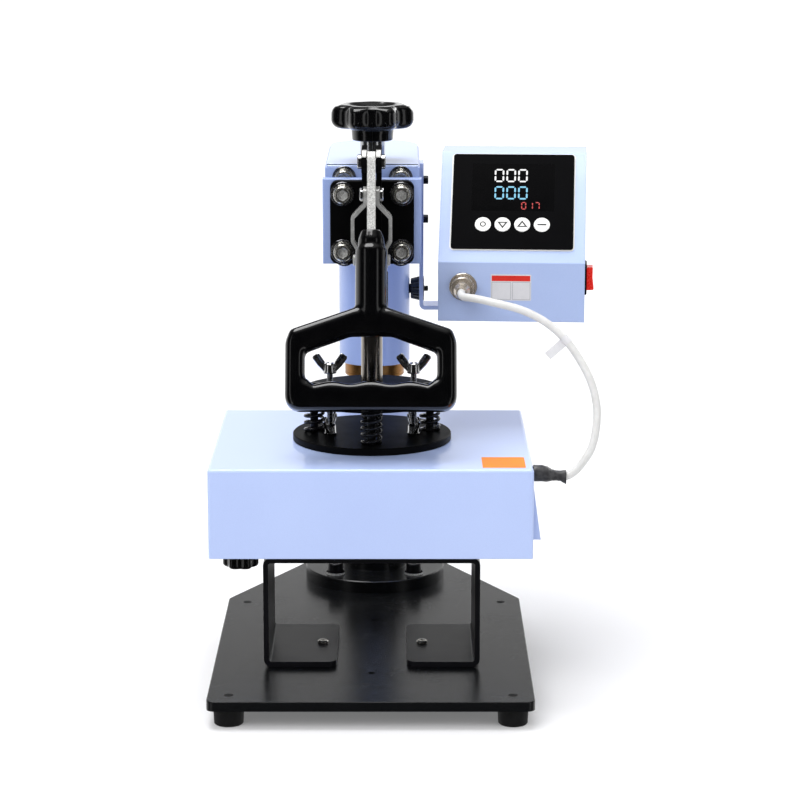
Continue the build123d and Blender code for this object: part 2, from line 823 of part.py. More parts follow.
def make_grip():
    half = grip_half_width
    outline = make_face(Polyline(
        (-neck_diameter / 2, -grip_apex), (neck_diameter / 2, -grip_apex),
        (grip_shoulder_half, -grip_shoulder), (half, -grip_shoulder - 12), (half, -grip_bottom),
        (-half, -grip_bottom), (-half, -grip_shoulder - 12), (-grip_shoulder_half, -grip_shoulder),
        close=True))
    low = [v for v in outline.vertices() if v.Y < -grip_bottom + 1]
    outline = fillet(low, grip_corner_radius)
    shoulders = [v for v in outline.vertices() if abs(v.X) > grip_shoulder_half - 1
                 and v.Y > -grip_shoulder - 13]
    outline = fillet(shoulders, 5.0)
    wide, top = window_half_width, window_top_half
    hole = make_face(Polyline((-top, -window_top), (top, -window_top), (wide, -window_side_top),
                              (wide, -window_bottom), (-wide, -window_bottom),
                              (-wide, -window_side_top), close=True))
    hole = fillet(hole.vertices().filter_by(lambda v: abs(v.X) > wide - 1), window_corner_radius)
    loop = extrude(outline - hole, amount=grip_depth / 2, both=True)
    rims = loop.faces().filter_by(Axis.Z)
    loop = fillet(rims.edges(), grip_round)
    radius = (finger_pitch ** 2 / 4 + finger_wave ** 2) / (2 * finger_wave)
    for x in (-finger_pitch / 2, finger_pitch / 2):
        # shallow finger hollows along the top of the cross bar
        hollow = Pos(x, -window_bottom + radius - finger_wave, 0) * Cylinder(radius, grip_depth)
        loop -= hollow & Pos(x, -window_bottom, 0) * Box(2 * wide, 8, grip_depth)
    neck = Cone(neck_step_diameter / 2 - 0.5, neck_cone_diameter / 2, neck_step_start - neck_cone_start,
                align=(Align.CENTER, Align.CENTER, Align.MIN))
    neck += Pos(0, 0, neck_step_start - neck_start) * Cylinder(
        neck_step_diameter / 2, neck_start - neck_step_start,
        align=(Align.CENTER, Align.CENTER, Align.MIN))
    column = Pos(0, 0, neck_step_start - grip_apex - 12) * Cylinder(
        neck_diameter / 2, grip_apex + 12 - neck_start, align=(Align.CENTER, Align.CENTER, Align.MIN))
    column = fillet(column.edges().group_by(Axis.Z)[-1], 2.0)
    neck += column
    loop += Pos(0, -neck_step_start, 0) * Rot(-90, 0, 0) * neck
    grip = grip_plane() * loop
    return grip - lever_pocket()


def lever_pocket():
    """The slot that the steel lever fills inside the moulded grip."""
    half = lever_shank_width / 2
    pocket = Pos(0, -(neck_cone_start - 20 + lever_end) / 2, 0) * Box(
        lever_thickness, lever_end - neck_cone_start + 20, 2 * half)
    return grip_plane() * pocket


def make_links():
    """Two bowed steel strips that join the lever's pin to the plunger's top."""
    inner = lever_thickness / 2 + body_gap + link_sheet / 2
    reach = link_width / 2
    foot = link_foot_x
    top, bottom = pivot_b_z + reach, pivot_c_z - reach
    points = [(inner, top), (inner, pivot_b_z - 9), (link_bow, pivot_b_z - 22),
              (link_bow, pivot_c_z + 19), (foot, pivot_c_z + 12), (foot, bottom)]
    strip = Pos(0, head_y - reach, 0) * sheet_path(points, link_sheet, link_width, 2.5)
    ends = Pos(0, head_y, pivot_b_z) * Rot(0, 90, 0) * Cylinder(reach, 60)
    ends += Pos(0, head_y, pivot_c_z) * Rot(0, 90, 0) * Cylinder(reach, 60)
    ends += block(-30, 30, head_y - reach, head_y + reach, pivot_c_z, pivot_b_z)
    strip = strip & ends
    strip -= rod_along_x(head_y, pivot_b_z, 0, 30, pin_diameter + 2 * running_gap)
    rivet = rod_along_x(head_y, pivot_c_z, foot - link_sheet / 2, foot + link_sheet / 2 + 2.4, 11.0)
    strip += chamfer(rivet.edges().group_by(Axis.X)[-1], 0.8)
    return Compound([strip, mirror(strip, about=Plane.YZ)])


# carriage

def make_front_plate():
    back = clamp_face() + flange_plate_thickness
    half = front_plate_width / 2
    plate = block(-half, half, back, back + front_plate_thickness, front_plate_bottom,
                  front_plate_bottom + front_plate_height)
    plate = chamfer(plate.faces().sort_by(Axis.Y)[0].edges(), 0.8)
    for x, z in clamp_screw_places():
        plate -= rod_along_y(x, z, back - 1, back + front_plate_thickness + 1,
                             clamp_screw_diameter + 2 * screw_gap)
    return plate


def carriage_back():
    return clamp_face() + flange_plate_thickness + front_plate_thickness


def make_slide_block():
    low, high = tongue_bottom, tongue_bottom + tongue_height
    wide, half = tongue_shoulder_width / 2, tongue_width / 2
    piece = block(-wide, wide, carriage_back(), arm_front - body_gap, low, high)
    piece += block(-half, half, arm_front - body_gap, tongue_end, low, high)
    start = arm_front + nose_thickness + 8
    for side in (-1, 1):
        piece -= block(min(side * half, side * (half - tongue_groove_depth)),
                       max(side * half, side * (half - tongue_groove_depth)),
                       start, start + tongue_groove_width, low - 1, high + 1)
    return piece - rod(0, pressure_y, low - 1, high + 1, pressure_journal + 2 * running_gap)


def make_pressure_screw():
    low, high = tongue_bottom, tongue_bottom + tongue_height
    screw = rod(0, pressure_y, high + body_gap, knob_bottom + knob_hub_height + 8,
                pressure_screw_diameter)
    screw += rod(0, pressure_y, low - body_gap, high + body_gap, pressure_journal)
    collar = rod(0, pressure_y, low - body_gap - pressure_collar_height, low - body_gap,
                 pressure_collar_diameter)
    return screw + chamfer(collar.edges().group_by(Axis.Z)[0], 1.0)


def make_pressure_knob():
    rim_low = knob_bottom + knob_hub_height
    rim_high = rim_low + knob_rim_height
    turn = -90
    star = Pos(0, 0, rim_low) * star_prism(knob_radius, knob_lobes, knob_scallop_radius,
                                           knob_scallop_centre, knob_rim_height, turn)
    half, flat = knob_rim_height / 2, knob_rim_height / 5
    side = knob_radius - half
    # the rim is the star cut by a turned disc with sloped edges
    lens = make_face(Polyline((0, -half), (side, -half), (knob_radius - 2.5, -flat),
                              (knob_radius, 0), (knob_radius - 2.5, flat), (side, half), (0, half),
                              close=True))
    turned = revolve(Plane.XZ * lens, Axis.Z)
    star = star & Pos(0, 0, (rim_low + rim_high) / 2) * turned
    hub = Cone(knob_hub_diameter / 2 - 0.8, knob_hub_diameter / 2, knob_hub_height + 4,
               align=(Align.CENTER, Align.CENTER, Align.MIN))
    hub = fillet(hub.edges().group_by(Axis.Z)[0], 1.2)
    knob = star + Pos(0, 0, knob_bottom) * hub
    dish = Cone(knob_radius * 0.42, knob_radius * 0.62, knob_dish_depth,
                align=(Align.CENTER, Align.CENTER, Align.MAX))
    knob -= Pos(0, 0, rim_high) * dish
    knob = Pos(0, pressure_y, 0) * knob
    return knob - rod(0, pressure_y, knob_bottom - 1, rim_low + 8, pressure_screw_diameter)


# swing arm

def arm_outline(inset, front):
    half = arm_width / 2 - inset
    line = Polyline((-half, post_y), (-half, front), (half, front), (half, post_y))
    arc = ThreePointArc((half, post_y), (0, post_y + half), (-half, post_y))
    return make_face(line + arc)


def make_arm_box():
    front = arm_front + nose_thickness
    body = Pos(0, 0, arm_bottom) * extrude(arm_outline(0, front), amount=arm_top - arm_bottom)
    inner = arm_width / 2 - arm_wall
    cavity_end = post_y - sleeve_outer / 2 - 9
    low, high = arm_bottom + arm_wall, arm_top - arm_roof
    body -= block(-inner, inner, front - 1, cavity_end, low, high)
    edge = nose_screw_x - 9.2
    for side in (-1, 1):
        for z0, z1 in ((low, low + 10.5), (high - 11.0, high)):
            body += block(min(side * edge, side * inner), max(side * edge, side * inner),
                          front, front + 20, z0, z1)
    body -= rod(0, post_y, arm_bottom - 1, arm_top + 1, sleeve_outer)
    body -= rod(0, pressure_y, high - 1, arm_top + 1, bush_outer)
    for x, z in nose_screw_places():
        body -= rod_along_y(x, z, front - 1, front + 16, clamp_screw_diameter + 2 * screw_gap)
    for z in strap_screw_heights:
        body -= rod_along_x(strap_front + strap_width / 2, z, inner - 1, arm_width,
                            strap_screw_diameter + 2 * screw_gap)
    return body


def nose_screw_places():
    return [(sx * nose_screw_x, z) for sx in (-1, 1)
            for z in (arm_bottom + nose_screw_inset, arm_top - nose_screw_inset - 1.6)]


def make_nose_plate():
    """Front wall of the arm, with the window and the two gib strips that guide the tongue."""
    half = arm_width / 2
    front, back = arm_front, arm_front + nose_thickness
    plate = block(-half, half, front, back, arm_bottom, arm_top)
    plate = chamfer(plate.faces().sort_by(Axis.Y)[0].edges(), 0.6)
    low = tongue_bottom - body_gap
    high = tongue_bottom + tongue_height + pressure_travel + body_gap
    window = tongue_width / 2 + slide_gap
    plate -= block(-window, window, front - 1, back + 1, low, high)
    groove = back + 8 + slide_gap
    for side in (-1, 1):
        for x0, x1, y0, y1 in ((window, window + 6, back, groove),
                               (window - tongue_groove_depth, window + 6, groove,
                                groove + tongue_groove_width - 2 * slide_gap)):
            plate += block(min(side * x0, side * x1), max(side * x0, side * x1), y0, y1,
                           low + 1, high - 1)
    # the screw's bush stands partly in the back of the plate
    bush_low = arm_top - arm_roof - bush_flange_thickness
    plate -= rod(0, pressure_y, bush_low - body_gap, arm_top - arm_roof,
                 bush_flange_diameter + 2 * slide_gap)
    plate -= rod(0, pressure_y, bush_low, arm_top + 1, bush_outer + 2 * screw_gap)
    for x, z in nose_screw_places():
        plate -= rod_along_y(x, z, front - 1, back + 1, clamp_screw_diameter + 2 * screw_gap)
    return plate


def make_nose_screws():
    return Compound([Pos(x, arm_front, z) * Rot(90, 0, 0)
                     * socket_screw(clamp_screw_head, clamp_screw_head_height,
                                    clamp_screw_diameter, nose_thickness + 15)
                     for x, z in nose_screw_places()])


def make_arm_lid():
    lid = Pos(0, 0, arm_top) * extrude(arm_outline(lid_inset, arm_front + lid_inset),
                                       amount=lid_thickness)
    lid = chamfer(lid.edges().group_by(Axis.Z)[-1], 0.8)
    return lid - rod(0, pressure_y, arm_top - 1, arm_top + 10, bush_outer + 1.0)


def make_swing_sleeve():
    sleeve = rod(0, post_y, sleeve_bottom, arm_top, sleeve_outer)
    sleeve = chamfer(sleeve.edges().group_by(Axis.Z)[0], 1.0)
    sleeve -= rod(0, post_y, sleeve_bottom - 1, post_top + body_gap, sleeve_bore)
    return sleeve - rod_along_x(post_y, lock_z, 0, 60, lock_screw_diameter + 2 * running_gap)


def make_sleeve_bushes():
    bore = post_diameter + 2 * running_gap
    top = post_top + body_gap
    return Compound([
        tube(0, post_y, sleeve_bottom, sleeve_bottom + sleeve_bush_length, sleeve_bore, bore),
        tube(0, post_y, top - sleeve_bush_length, top, sleeve_bore, bore)])


def make_screw_bush():
    low = arm_top - arm_roof
    bush = rod(0, pressure_y, low, knob_bottom - body_gap, bush_outer)
    bush += rod(0, pressure_y, low - bush_flange_thickness, low, bush_flange_diameter)
    return bush - rod(0, pressure_y, low - 20, knob_bottom + 5,
                      pressure_screw_diameter + 2 * running_gap)


def make_swing_lock():
    reach = sleeve_outer / 2 - (post_diameter / 2 + body_gap)
    start = post_diameter / 2 + body_gap
    knob = Cone(lock_small_diameter / 2, lock_large_diameter / 2, lock_grip_length,
                align=(Align.CENTER, Align.CENTER, Align.MIN))
    knob = chamfer(knob.edges().group_by(Axis.Z)[-1], 1.5)
    for i in range(8):
        knob -= Rot(0, 0, i * 45) * Pos(lock_large_diameter / 2 + 1.4, 0, lock_grip_length / 2) * \
            Cylinder(2.6, lock_grip_length + 2)
    knob += Pos(0, 0, lock_grip_length) * Cylinder(
        lock_nub_diameter / 2, lock_nub_length, align=(Align.CENTER, Align.CENTER, Align.MIN))
    knob = Pos(lock_grip_start, post_y, lock_z) * Rot(0, 90, 0) * knob
    return knob + rod_along_x(post_y, lock_z, start, start + reach + 1.5, lock_screw_diameter)


# console

def console_frame():
    """Console's own axes: x to its right, y into it from its front, z up from its floor."""
    return Location((console_x, console_front, console_bottom), (0, 0, -console_turn))


def slope_length():
    return hypot(console_setback, console_height - console_kick)


def slope_frame():
    """x right, y up the sloped face from its lower edge, z out of the face."""
    rise = console_height - console_kick
    length = slope_length()
    normal = (0, -rise / length, console_setback / length)
    plane = Plane(origin=(0, 0, console_kick), x_dir=(1, 0, 0), z_dir=normal)
    return console_frame() * plane.location


def on_slope(width, height, low, start, thickness):
    """A slab on the sloped face: low is its distance up the face, start its height off it."""
    return Pos(0, low + height / 2, start + thickness / 2) * Box(width, height, thickness)


def console_profile(inset, back):
    rise, deep = console_height - console_kick, console_setback
    lean = hypot(rise, deep)
    slope_y = inset * (lean - deep) / rise
    front_z = console_kick - inset * (lean - rise) / deep
    return [(inset, inset), (inset, front_z), (deep + slope_y, console_height - inset),
            (back, console_height - inset), (back, inset)]


def make_console_shell():
    half = console_width / 2
    outer_points = console_profile(0.0, console_depth - console_back_thickness)
    inner_points = console_profile(console_sheet, console_depth + 5)
    shell = side_slab(outer_points, -half, half)
    rims = [e for e in shell.edges() if e.center().Y < console_depth - 10
            and e.length > 20 and abs(abs(e.center().X) - half) > 1]
    shell = fillet(rims, 1.2)
    shell -= side_slab(inner_points, -half + console_sheet, half - console_sheet)
    shell -= rod_along_y(socket_x, socket_height, -1, 5, socket_tail + 2 * screw_gap)
    shell -= block(half - 5, half + 1, rocker_y - bezel_wide / 2 + 1.5,
                   rocker_y + bezel_wide / 2 - 1.5, rocker_height - bezel_tall / 2 + 1.5,
                   rocker_height + bezel_tall / 2 - 1.5)
    shell = console_frame() * shell
    opening = on_slope(display_width - 4, display_height - 4, display_start + 2, -5, 7)
    shell -= slope_frame() * opening
    for x in strap_floor_screws:
        shell -= rod(x, strap_front + strap_width / 2, console_bottom - 1, console_bottom + 4,
                     strap_screw_diameter + 2 * screw_gap)
    return shell


def make_console_back():
    half = console_width / 2
    deep = console_depth
    plate = block(-half, half, deep - console_back_thickness, deep, 0, console_height)
    for side in (-1, 1):
        x = side * (half - console_sheet - 4)
        plate += block(x - 4, x + 4, deep - 14, deep - console_back_thickness,
                       console_sheet, console_height - console_sheet)
    for i in range(6):
        z = console_height - 22 - 8 * i
        slot = block(-34, 34, deep - 3, deep + 1, z - 1.5, z + 1.5)
        plate -= fillet(slot.edges().filter_by(Axis.Y), 1.4)
    plate -= block(-14, 14, deep - 20, deep + 1, inlet_z - 10, inlet_z + 10)
    return console_frame() * plate


def make_mains_inlet():
    deep = console_depth
    flange = block(-inlet_width / 2, inlet_width / 2, deep, deep + 3, inlet_z - inlet_tall / 2,
                   inlet_z + inlet_tall / 2)
    flange = fillet(flange.edges().filter_by(Axis.Y), 5.0)
    body = block(-13.9, 13.9, deep - 22, deep, inlet_z - 9.9, inlet_z + 9.9)
    inlet = flange + body - block(-12, 12, deep - 16, deep + 4, inlet_z - 8, inlet_z + 8)
    for x, z in ((-7, -2), (0, 2), (7, -2)):
        inlet += block(x - 1, x + 1, deep - 17, deep - 2, inlet_z + z - 2, inlet_z + z + 2)
    return console_frame() * inlet


def button_offsets():
    return [(i - 1.5) * button_pitch for i in range(4)]


def make_control_panel():
    panel = on_slope(panel_width, panel_height, panel_start, 0, panel_thickness)
    panel = fillet(panel.edges().filter_by(Axis.Z), 3.0)
    panel -= on_slope(display_width, display_height, display_start,
                      panel_thickness - display_thickness, display_thickness + 1)
    for x in button_offsets():
        panel -= Pos(x, button_row, 0) * Cylinder(button_diameter / 2 + slide_gap, 10)
    return slope_frame() * panel


def make_display_window():
    return slope_frame() * on_slope(display_width, display_height, display_start,
                                    panel_thickness - display_thickness, display_thickness)


def make_button(x):
    cap = Pos(x, button_row, button_lift) * Cylinder(
        button_diameter / 2, button_thickness, align=(Align.CENTER, Align.CENTER, Align.MIN))
    cap = chamfer(cap.edges().group_by(Axis.Z)[-1], 0.4)
    return slope_frame() * cap


def make_head_socket():
    socket = rod_along_y(socket_x, socket_height, -socket_flange_thickness, 0, socket_flange)
    socket = chamfer(socket.faces().sort_by(Axis.Y)[0].edges(), 0.8)
    socket += rod_along_y(socket_x, socket_height, -socket_barrel_end, 0, socket_barrel)
    socket += rod_along_y(socket_x, socket_height, 0, 14, socket_tail)
    return console_frame() * socket


def make_cable_plug():
    ring = rod_along_y(socket_x, socket_height, -plug_ring_end, -socket_flange_thickness, plug_ring)
    ring = chamfer(ring.edges(), 0.8)
    for i in range(12):
        ring -= Pos(socket_x, 0, socket_height) * Rot(0, 30 * i, 0) * Pos(plug_ring / 2 + 0.6, -9.5, 0) \
            * Rot(90, 0, 0) * Cylinder(1.4, 9)
    body = rod_along_y(socket_x, socket_height, -plug_body_end, -plug_ring_end, plug_body)
    taper = Pos(socket_x, -plug_body_end, socket_height) * Rot(90, 0, 0) * Cone(
        plug_body / 2, cable_diameter / 2 + 1.5, plug_end - plug_body_end,
        align=(Align.CENTER, Align.CENTER, Align.MIN))
    plug = ring + body + taper
    plug -= rod_along_y(socket_x, socket_height, -socket_barrel_end, 0, socket_barrel)
    return console_frame() * plug


def make_power_bezel():
    half = console_width / 2
    tall, wide = bezel_tall / 2, bezel_wide / 2
    frame = block(half, half + bezel_thickness, rocker_y - wide, rocker_y + wide,
                  rocker_height - tall, rocker_height + tall)
    frame = chamfer(frame.faces().sort_by(Axis.X)[-1].edges(), 0.8)
    frame += block(half - bezel_depth, half, rocker_y - wide + 1.6, rocker_y + wide - 1.6,
                   rocker_height - tall + 1.6, rocker_height + tall - 1.6)
    frame -= block(half - bezel_depth + 4, half + 10, rocker_y - bezel_opening_wide / 2,
                   rocker_y + bezel_opening_wide / 2, rocker_height - bezel_opening_tall / 2,
                   rocker_height + bezel_opening_tall / 2)
    return console_frame() * frame


def make_power_rocker():
    """Modelled level, then tipped about its pivot to the rest position, upper end pressed."""
    tall = rocker_tall / 2
    profile = [(-6, -tall + 3), (-6, tall - 3), (0, tall), (rocker_end, tall),
               (rocker_middle, 0), (rocker_end, -tall), (0, -tall)]
    rocker = front_slab(profile, -rocker_wide / 2, rocker_wide / 2)
    rocker = chamfer(rocker.edges().filter_by(Axis.Y).group_by(Axis.X)[-1], 0.8)
    pivot = rod_along_y(0, 0, -bezel_opening_wide / 2, bezel_opening_wide / 2, 4.0)
    rocker = Rot(0, -rocker_tilt, 0) * (rocker + pivot)
    place = Pos(console_width / 2 + bezel_thickness - rocker_pivot_depth, rocker_y, rocker_height)
    return console_frame() * place * rocker


def make_console_strap():
    inner = arm_width / 2 + strap_thickness / 2
    low = console_bottom - strap_thickness / 2
    strap = sheet_path([(inner, arm_top - 1), (inner, low), (strap_end, low)], strap_thickness,
                       strap_width, strap_bend_radius)
    strap = Pos(0, strap_front, 0) * strap
    middle = strap_front + strap_width / 2
    for z in strap_screw_heights:
        strap -= rod_along_x(middle, z, 40, 60, strap_screw_diameter + 2 * screw_gap)
    for x in strap_floor_screws:
        strap -= rod(x, middle, console_bottom - 10, console_bottom + 1,
                     strap_screw_diameter + 2 * screw_gap)
    return strap


def make_strap_screws():
    middle = strap_front + strap_width / 2
    outer = arm_width / 2 + strap_thickness
    screws = [Pos(outer, middle, z) * Rot(0, 90, 0)
              * socket_screw(strap_screw_head, strap_screw_head_height, strap_screw_diameter,
                             strap_thickness + arm_wall) for z in strap_screw_heights]
    screws += [Pos(x, middle, console_bottom - strap_thickness) * Rot(180, 0, 0)
               * pan_screw(strap_screw_head, 3.0, strap_screw_diameter,
                           strap_thickness + console_sheet + 5) for x in strap_floor_screws]
    return Compound(screws)


def cable_points():
    frame = console_frame()
    tip = (frame * Pos(socket_x, -plug_end, socket_height)).position
    lead = (frame * Pos(socket_x, -plug_end - 26, socket_height)).position
    route = [Vector(x, y, base_top + z) for x, y, z in cable_route]
    return [Vector(cable_sleeve_end, cable_head_y, cable_head_z)] + route + [lead, tip]


def make_cable():
    points = cable_points()
    radii = []
    for before, here, after in zip(points, points[1:], points[2:]):
        shorter = min((here - before).length, (after - here).length)
        turn = (here - before).get_angle(after - here)
        radii.append(0.45 * shorter / tan(radians(turn / 2)))
    print("cable radii", [round(r, 1) for r in radii])
    path = FilletPolyline(*points, radius=radii)
    section = Plane(origin=points[0], z_dir=points[1] - points[0]) * Circle(cable_diameter / 2)
    cable = sweep(section, path=path)
    tube_volume = pi * cable_diameter ** 2 / 4 * path.length
    print("cable length", round(path.length, 1), "volume ratio", round(cable.volume / tube_volume, 4))
    return cable


def build_parts():
    rest_turn = 70.0
    low_seat = cover_top + lower_disc_thickness
    left, right = stud_places()
    offsets = button_offsets()
    return {
        "base_plate": make_base_plate(),
        "rubber_feet": make_rubber_feet(),
        "base_screws": make_base_screws(),
        "post_flange": make_post_flange(),
        "flange_bolts": make_flange_bolts(),
        "post": make_post(),
        "stand": make_stand(),
        "lower_form": make_lower_form(),
        "form_pad": make_form_pad(),
        "swing_sleeve": make_swing_sleeve(),
        "sleeve_bushes": make_sleeve_bushes(),
        "arm_box": make_arm_box(),
        "arm_lid": make_arm_lid(),
        "nose_plate": make_nose_plate(),
        "nose_screws": make_nose_screws(),
        "screw_bush": make_screw_bush(),
        "swing_lock_knob": make_swing_lock(),
        "console_strap": make_console_strap(),
        "strap_screws": make_strap_screws(),
        "console_shell": make_console_shell(),
        "console_back": make_console_back(),
        "mains_inlet": make_mains_inlet(),
        "control_panel": make_control_panel(),
        "display_window": make_display_window(),
        "button_set": make_button(offsets[0]),
        "button_down": make_button(offsets[1]),
        "button_up": make_button(offsets[2]),
        "button_clear": make_button(offsets[3]),
        "power_bezel": make_power_bezel(),
        "power_rocker": make_power_rocker(),
        "head_socket": make_head_socket(),
        "cable_plug": make_cable_plug(),
        "cable": make_cable(),
        "front_plate": make_front_plate(),
        "slide_block": make_slide_block(),
        "clamp_body": make_clamp_body(),
        "clamp_screws": make_clamp_screws(),
        "frame_pin": make_frame_pin(),
        "pressure_knob": make_pressure_knob(),
        "pressure_screw": make_pressure_screw(),
        "lever": make_lever(),
        "grip": make_grip(),
        "crank_pin": make_crank_pin(),
        "toggle_links": make_links(),
        "plunger": make_plunger(),
        "plunger_nut": make_plunger_nut(),
        "upper_disc": make_upper_disc(),
        "lower_disc": make_lower_disc(),
        "guide_bolts": make_guide_bolts(),
        "disc_springs": make_disc_springs(),
        "head_studs": make_head_studs(),
        "wing_nut_upper_left": Pos(*left, 0) * make_wing_nut(upper_wing_bottom, 0),
        "wing_nut_upper_right": Pos(*right, 0) * make_wing_nut(upper_wing_bottom, 0),
        "wing_nut_lower_left": Pos(*left, 0) * make_wing_nut(low_seat, rest_turn),
        "wing_nut_lower_right": Pos(*right, 0) * make_wing_nut(low_seat, -rest_turn),
        "head_cover": make_head_cover(),
        "heater_wool": make_heater_wool(),
        "heater_die": make_heater_die(),
        "die_knob": make_die_knob(),
        "cable_sleeve": make_cable_sleeve(),
    }


def footprint_centre(parts):
    """Middle of the rigid machine's footprint, the cord and its plug left out."""
    boxes = [part.bounding_box() for name, part in parts.items()
             if name not in ("cable", "cable_plug")]
    x = (min(b.min.X for b in boxes) + max(b.max.X for b in boxes)) / 2
    y = (min(b.min.Y for b in boxes) + max(b.max.Y for b in boxes)) / 2
    return x, y


def main():
    os.makedirs("parts", exist_ok=True)
    parts = build_parts()
    x, y = footprint_centre(parts)
    print("origin at", round(x, 3), round(y, 3), "from the mid-plane and the base's front edge")
    for name, part in parts.items():
        export_step(Pos(-x, -y, 0) * part, f"parts/{name}.step")


if __name__ == "__main__":
    main()
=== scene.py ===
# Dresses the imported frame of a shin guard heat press: camera, cable, materials,
# the finer pieces that stand for plain CAD nodes, and a pale studio.
import math

import bmesh
import bpy
from mathutils import Matrix, Vector


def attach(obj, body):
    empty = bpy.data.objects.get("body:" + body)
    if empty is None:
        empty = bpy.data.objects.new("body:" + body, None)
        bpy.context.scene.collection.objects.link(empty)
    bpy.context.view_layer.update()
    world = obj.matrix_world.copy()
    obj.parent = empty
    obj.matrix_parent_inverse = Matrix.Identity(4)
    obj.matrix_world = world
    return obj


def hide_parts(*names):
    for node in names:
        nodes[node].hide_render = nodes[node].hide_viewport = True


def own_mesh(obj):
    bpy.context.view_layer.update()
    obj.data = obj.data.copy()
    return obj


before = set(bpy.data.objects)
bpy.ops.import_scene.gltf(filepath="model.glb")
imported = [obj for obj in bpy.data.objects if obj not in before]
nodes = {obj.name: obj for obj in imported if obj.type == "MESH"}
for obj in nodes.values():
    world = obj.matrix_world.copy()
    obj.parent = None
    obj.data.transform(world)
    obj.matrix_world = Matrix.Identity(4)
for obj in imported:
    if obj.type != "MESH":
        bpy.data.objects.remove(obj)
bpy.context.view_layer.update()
scene = bpy.context.scene

# pieces are drawn in millimetres from the machine's own zero; the row frame lies this far away
sourceMiddle = (33.784, 259.0)


def row(x, y, z):
    return Vector(((x - sourceMiddle[0]) / 1000, (y - sourceMiddle[1]) / 1000, z / 1000))


def drawn(point):
    # the way back from the row frame to millimetres
    return Vector((point.x * 1000 + sourceMiddle[0], point.y * 1000 + sourceMiddle[1],
                   point.z * 1000))


# camera, worked out from the corners of the base and the cover

cameraFacts = {"place": (-0.006184, -2.569, 0.8085), "tilt": 78.0, "lens": 116.1, "sensor": 36.0,
               "reach": 60.0}


def makeCamera(facts):
    data = bpy.data.cameras.new("photoCamera")
    data.lens = facts["lens"]
    data.sensor_width = facts["sensor"]
    data.clip_end = facts["reach"]
    camera = bpy.data.objects.new("photoCamera", data)
    camera.location = facts["place"]
    camera.rotation_euler = (math.radians(facts["tilt"]), 0, 0)
    scene.collection.objects.link(camera)
    scene.camera = camera


makeCamera(cameraFacts)
print("camera placed")


# cable from the head's boot to the console's connector; stroke is the toggle's, in mm

cableFacts = {
    "diameter": 0.0075,
    "length": 0.311,
    "stroke": 53.7,
    "route": [
        (180, 60, 230.6), (186, 60, 231), (193.5, 60, 236), (202, 61, 246.5), (209.5, 63.5, 258.5),
        (213.5, 69, 277), (214.3, 76, 296), (209, 83, 318), (197.5, 91, 339), (184, 97, 357),
        (166, 103, 372), (143, 108, 382.8), (118, 114, 387.8), (98.5, 127, 390.3),
        (85.8, 149.5, 387.5), (87.6, 175.4, 387.5),
    ],
    "perSpan": 14,
    "round": 9,
}


def linkObject(name, data):
    piece = bpy.data.objects.new(name, data)
    scene.collection.objects.link(piece)
    return piece


def meshOf(thing):
    bpy.context.view_layer.update()
    return bpy.data.meshes.new_from_object(
        thing.evaluated_get(bpy.context.evaluated_depsgraph_get()))


def tidyNormals(piece):
    work = bmesh.new()
    work.from_mesh(piece.data)
    bmesh.ops.remove_doubles(work, verts=work.verts, dist=0.00001)
    bmesh.ops.recalc_face_normals(work, faces=work.faces)
    work.to_mesh(piece.data)
    work.free()


def cableCurve(facts, route):
    curve = bpy.data.curves.new("cableLine", "CURVE")
    curve.dimensions = "3D"
    spline = curve.splines.new("NURBS")
    spline.points.add(len(route) - 1)
    for spot, point in zip(spline.points, route):
        spot.co = (*point, 1)
    spline.order_u = 3
    spline.use_endpoint_u = True
    spline.resolution_u = facts["perSpan"]
    curve.bevel_depth = facts["diameter"] / 2
    curve.bevel_resolution = facts["round"]
    curve.use_fill_caps = True
    return curve


def followHead(piece):
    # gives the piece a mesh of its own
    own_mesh(piece)


def makeCable(facts):
    route = [row(*point) for point in facts["route"]]
    line = linkObject("cableLine", cableCurve(facts, route))
    tube = meshOf(line)
    line.data.bevel_depth = 0
    middle = meshOf(line)
    points = [vert.co.copy() for vert in middle.vertices]
    bpy.data.meshes.remove(middle)
    bpy.data.objects.remove(line)
    tube.name = "headCable"
    for face in tube.polygons:
        face.use_smooth = True
    cable = linkObject("headCable", tube)
    tidyNormals(cable)
    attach(cable, "arm")
    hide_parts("cable")
    followHead(cable)
    return cable, points


cable, cablePoints = makeCable(cableFacts)
print("cable laid")


# materials

def linear(tone):
    parts = [int(tone[i:i + 2], 16) / 255 for i in (1, 3, 5)]
    return (*(c / 12.92 if c <= 0.04045 else ((c + 0.055) / 1.055) ** 2.4 for c in parts), 1)


def addNode(tree, kind, inputs=None, **settings):
    node = tree.nodes.new("ShaderNode" + kind)
    for key, value in settings.items():
        setattr(node, key, value)
    for key, value in (inputs or {}).items():
        if isinstance(value, bpy.types.NodeSocket):
            tree.links.new(value, node.inputs[key])
        else:
            node.inputs[key].default_value = value
    return node


def emptyMaterial(name):
    material = bpy.data.materials.new(name)
    material.use_nodes = True
    material.node_tree.nodes.clear()
    return material, material.node_tree


# Sizes are in millimetres: patch is the width of the slow mottling, grain the width of the
# fine relief, depth its height, and edge the radius by which corners catch the light. along
# stretches the grain on each axis. Real brushing, grinding and plating grain is below 0.1 mm,
# too fine to show here, so it is drawn 0.3 to 1.2 mm wide.
plainFinish = {"patch": 10.0, "grain": 0.6, "depth": 0.01, "edge": 0.0, "along": (1, 1, 1),
               "metal": 0.0, "shine": 0.5, "coat": 0.0, "glow": 0.0}

